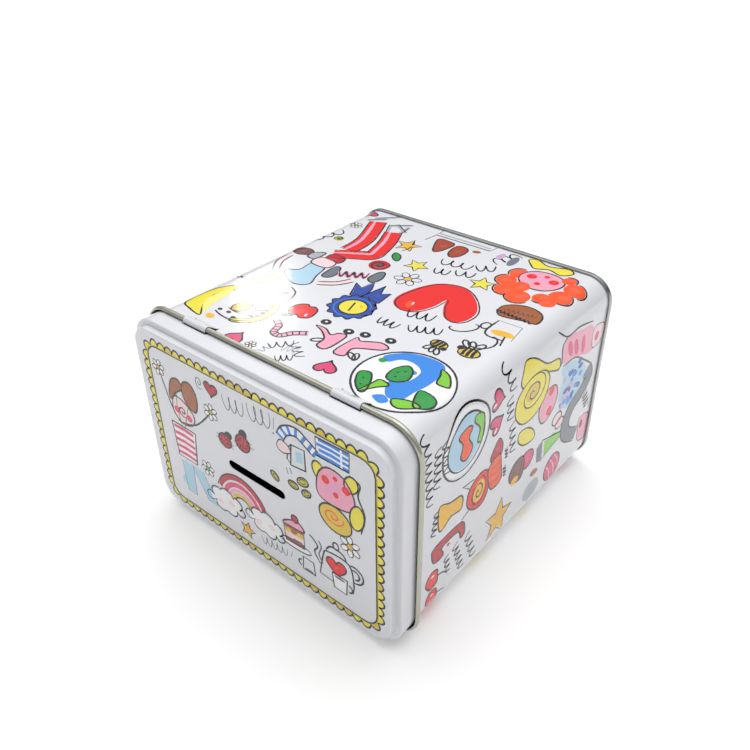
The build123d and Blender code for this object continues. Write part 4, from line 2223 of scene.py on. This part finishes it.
    def sash_and_bottle(self) -> None:
        """A slate sash, a pink bow and a green bottle with two drops."""
        film = self.film
        film.rest()
        line = smooth([(42, 133), (48, 136), (54, 130), (58, 122), (66, 118), (74, 121), (80, 132)])
        band_of(film, line, 7.6, Ink.SLATE)
        film.patch(Ink.PINK, [(72, 134), (73, 143), (80, 146), (89, 144), (87, 136), (79, 134)], 0.35)
        film.dot(Ink.PLUM, (77, 137), 2.6, 1.7)
        film.rest()
        film.fill(Ink.LEAF, [(64, 98), (68, 115), (71, 115), (74, 99)])
        film.edge([(62.5, 96), (68, 114), (71, 114), (74.5, 96)], FINE)
        film.fill(Ink.SLATE, [(62, 96), (75, 97), (73, 92), (64, 91)])
        for x, y, wide in ((56.5, 108, 3.4), (61, 111, 3.0)):
            film.rest((x, y))
            film.ring(Ink.BLUSH, (0, 0), wide, wide * 1.3)

    def buns(self) -> None:
        """A pink flower, yellow buns and a plum-coloured sweet."""
        film = self.film
        film.patch(Ink.PINK, [(33, 94), (34, 101), (40, 104), (47, 102), (51, 95), (48, 90), (40, 88)])
        film.dot(Ink.RED, (35.5, 98), 2.6, 2.3)
        film.dot(Ink.RED, (46.5, 98), 2.6, 2.3)
        film.patch(Ink.YELLOW, [
            (8, 72), (9, 79), (17, 90), (20, 101), (26, 102), (23, 94), (19, 84), (20, 72),
            (15, 68.5),
        ])
        film.blob(Ink.YELLOW, [
            (18, 78), (20, 89), (27, 94.5), (36, 92), (41, 84), (40, 74), (32, 67), (23, 68),
        ])
        film.fill(Ink.GOLD, oval((26.5, 80.5), 4.6, 6.0, -8))
        film.stroke(spiral((27, 80.5), 9.2, 11.5, 2.3), FINE)
        film.patch(Ink.YELLOW, [(44, 72), (45, 79), (50, 85), (55, 86), (54, 78), (49, 72)])
        film.patch(Ink.ROSE, [(60, 79), (61, 86), (66, 88), (70, 84), (68, 79)])
        film.blob(Ink.PLUM, [(60, 78), (66, 80), (73, 78), (71, 70), (65, 67), (60, 71)])
        film.dot(Ink.AMBER, (70.5, 72.5), 2.2, 3.2)

    def plate_and_sweets(self) -> None:
        """A round plate and the sweets beside it."""
        film = self.film
        film.patch(Ink.CRIMSON, [(36, 56), (41, 59), (46, 58), (46, 52), (43, 50), (38, 53)])
        film.blob(Ink.ORANGE, [(45, 57), (52, 59), (61, 60), (62, 53), (57, 50), (48, 49)])
        for x in (49, 53, 57):
            film.curve([(x, 50), (x + 1, 55), (x, 59)], 0.4, Ink.RUST)
        film.patch(Ink.RED, [(46, 42), (48, 48), (56, 50), (64, 47), (64, 40), (58, 34), (50, 35)])
        film.dot(Ink.AMBER, (55, 42.5), 5.8, 4.4)
        film.stroke(spiral((55.5, 42), 8.0, 6.4, 2.2), 0.6)
        film.stroke([(46, 38), (45, 30), (49, 35)], BROAD)
        film.stroke([(61, 36), (63, 31)], BROAD)
        film.rest()
        film.fill(Ink.WHITE, oval((22, 30), 15, 14.5, -12))
        film.fill(Ink.SKY, oval((22, 30), 12.2, 11.6, -12))
        film.edge(oval((21.5, 30), 16.4, 15.6, -20, 40), 0.75, 0.68)
        film.edge(oval((22, 30), 12.8, 12.2, -12, 34), 0.68, 0.5)
        film.blob(Ink.LEAF, [(13, 36), (15, 41), (21, 42), (28, 41), (27, 38), (21, 39), (16, 35)])
        film.blob(Ink.ORANGE, [
            (15, 31), (17, 34), (21, 32), (27, 35), (31, 31), (28, 27), (22, 28), (17, 25),
        ])
        film.patch(Ink.AMBER, [(44, 15), (47, 22), (49, 30), (56, 30), (55, 23), (58, 16), (51, 14)])
        film.stroke(coil((45, 13), (57, 11), 3.5, 4, 0.7), BROAD)
        film.patch(Ink.CRIMSON, [
            (64, 13), (64, 31), (72, 34), (73, 31), (68, 29), (68, 18), (73, 19), (73, 13),
            (68, 11),
        ])
        film.rest()
        film.dot(Ink.GREY, (88, 90), 5.4, 7.2, 8)
        film.dot(Ink.BROWN, (78, 91), 1.9, 3.6, -10)


# ----------------------------------------------------------------------- studio


@dataclass
class Studio:
    """Floor, lights and camera."""

    camera_place: Point = (0.194, -0.2334)
    camera_height: float = 0.2687
    yaw: float = 40.1
    pitch: float = 33.96
    roll: float = -0.6
    lens: float = 37.31
    window_place: tuple[float, float, float] = (-0.672, 0.515, 0.545)
    window_aim: tuple[float, float, float] = (-0.045, -0.028, 0.105)
    window_size: float = 0.09
    window_power: float = 0.3
    sky_axis: tuple[float, float, float] = (-0.08, 0.16, 1.0)
    sky_peak: float = 3.05
    sky_rim: float = 0.1

    def build(self) -> None:
        """Set up the studio."""
        self.floor()
        self.world()
        self.lamp(
            "window", self.window_place, self.window_aim, self.window_size, self.window_power
        )
        self.camera()

    def floor(self) -> None:
        """The pale floor."""
        bm = bmesh.new()
        bmesh.ops.create_grid(bm, x_segments=1, y_segments=1, size=6.0)
        floor = object_from("studio_floor", bm)
        g = Graph.material("studio_floor")
        floor.data.materials.append(g.finish({
            "Base Color": (0.9, 0.9, 0.9, 1.0), "Roughness": 0.7,
            "Emission Color": (1.0, 1.0, 1.0, 1.0), "Emission Strength": 0.16,
        }))

    def world(self) -> None:
        """Soft light from overhead, a little from the back left."""
        world = bpy.data.worlds.new("studio")
        g = Graph(world)
        direction = g.node("ShaderNodeTexCoord", output="Generated")
        facing = g.node(
            "ShaderNodeVectorMath", {"operation": "DOT_PRODUCT"},
            {0: direction, 1: Vector(self.sky_axis).normalized()}, output="Value",
        )
        facing = g.maths("MAXIMUM", facing, 0.0)
        square = facing * facing
        sky = g.node("ShaderNodeBackground", None, {
            "Color": (1.0, 1.0, 1.0, 1.0),
            "Strength": square * square * self.sky_peak + self.sky_rim,
        })
        g.node("ShaderNodeOutputWorld", None, {"Surface": sky})
        bpy.context.scene.world = world
        bpy.context.scene.view_settings.view_transform = "Standard"

    def lamp(
        self, name: str, place: Sequence[float], aim: Sequence[float], size: float,
        power: float,
    ) -> None:
        """Add a soft box.

        Args:
            name: The light's name.
            place: Where it stands.
            aim: The point it faces.
            size: Its width.
            power: Its power in watts.
        """
        light = bpy.data.lights.new(name, "AREA")
        light.shape = "SQUARE"
        light.size = size
        light.energy = power
        lamp = bpy.data.objects.new(name, light)
        lamp.location = place
        lamp.rotation_euler = (Vector(aim) - Vector(place)).to_track_quat("-Z", "Y").to_euler()
        bpy.context.scene.collection.objects.link(lamp)

    def camera(self) -> None:
        """The camera, above the lid's right end."""
        data = bpy.data.cameras.new("camera")
        data.lens = self.lens
        data.sensor_width = 36.0
        data.clip_start = 0.01
        view = bpy.data.objects.new("camera", data)
        view.location = (*self.camera_place, self.camera_height)
        turn = Matrix.Rotation(math.radians(self.yaw), 4, "Z")
        tilt = Matrix.Rotation(math.radians(90 - self.pitch), 4, "X")
        lean = Matrix.Rotation(math.radians(self.roll), 4, "Z")
        view.rotation_euler = (turn @ tilt @ lean).to_euler()
        bpy.context.scene.collection.objects.link(view)
        bpy.context.scene.camera = view


def main() -> None:
    """Build the money box and its studio."""
    logging.basicConfig(level=logging.INFO, format="%(name)s: %(message)s")
    sizes = Sizes()
    enamel = Enamel().build()
    lacquer = Metal("gold_lacquer", srgb(206, 198, 164), srgb(186, 176, 138), 0.26).build()
    edge = Metal("cut_edge", srgb(176, 176, 172), srgb(150, 150, 146), 0.35).build()
    tin = Metal("bare_tin", srgb(186, 188, 188), srgb(158, 160, 160), 0.3).build()
    inks = {}
    for ink in Ink:
        name = "ink_" + ink.name.lower()
        inks[ink, False] = InkFinish(name, ink.value).build()
        inks[ink, True] = InkFinish(name + "_wash", second_wash(ink.value)).build()
    Wall(sizes, materials=(enamel, lacquer, edge)).build()
    SideSeam(sizes, lacquer).build()
    Base(sizes, materials=(tin, lacquer, edge)).build()
    # Dark metal for the inside of the lid's rolled curl: painted shade for the shadow in the crevice between
    # the curl and the skirt, laid on the curl's bare metal.
    curl_shade_metal = Metal("print_margin", srgb(104, 103, 98), srgb(84, 83, 78), 0.4).build()
    bead = Metal("bead_lacquer", srgb(196, 196, 184), srgb(178, 177, 160), 0.2, 0.5).build()
    Lid(sizes, materials=(enamel, lacquer, edge, curl_shade_metal, bead, edge)).build()
    LidPrint(sizes, inks).build()
    WallPrint(sizes, inks).build()
    Studio().build()


if __name__ == "__main__":
    main()
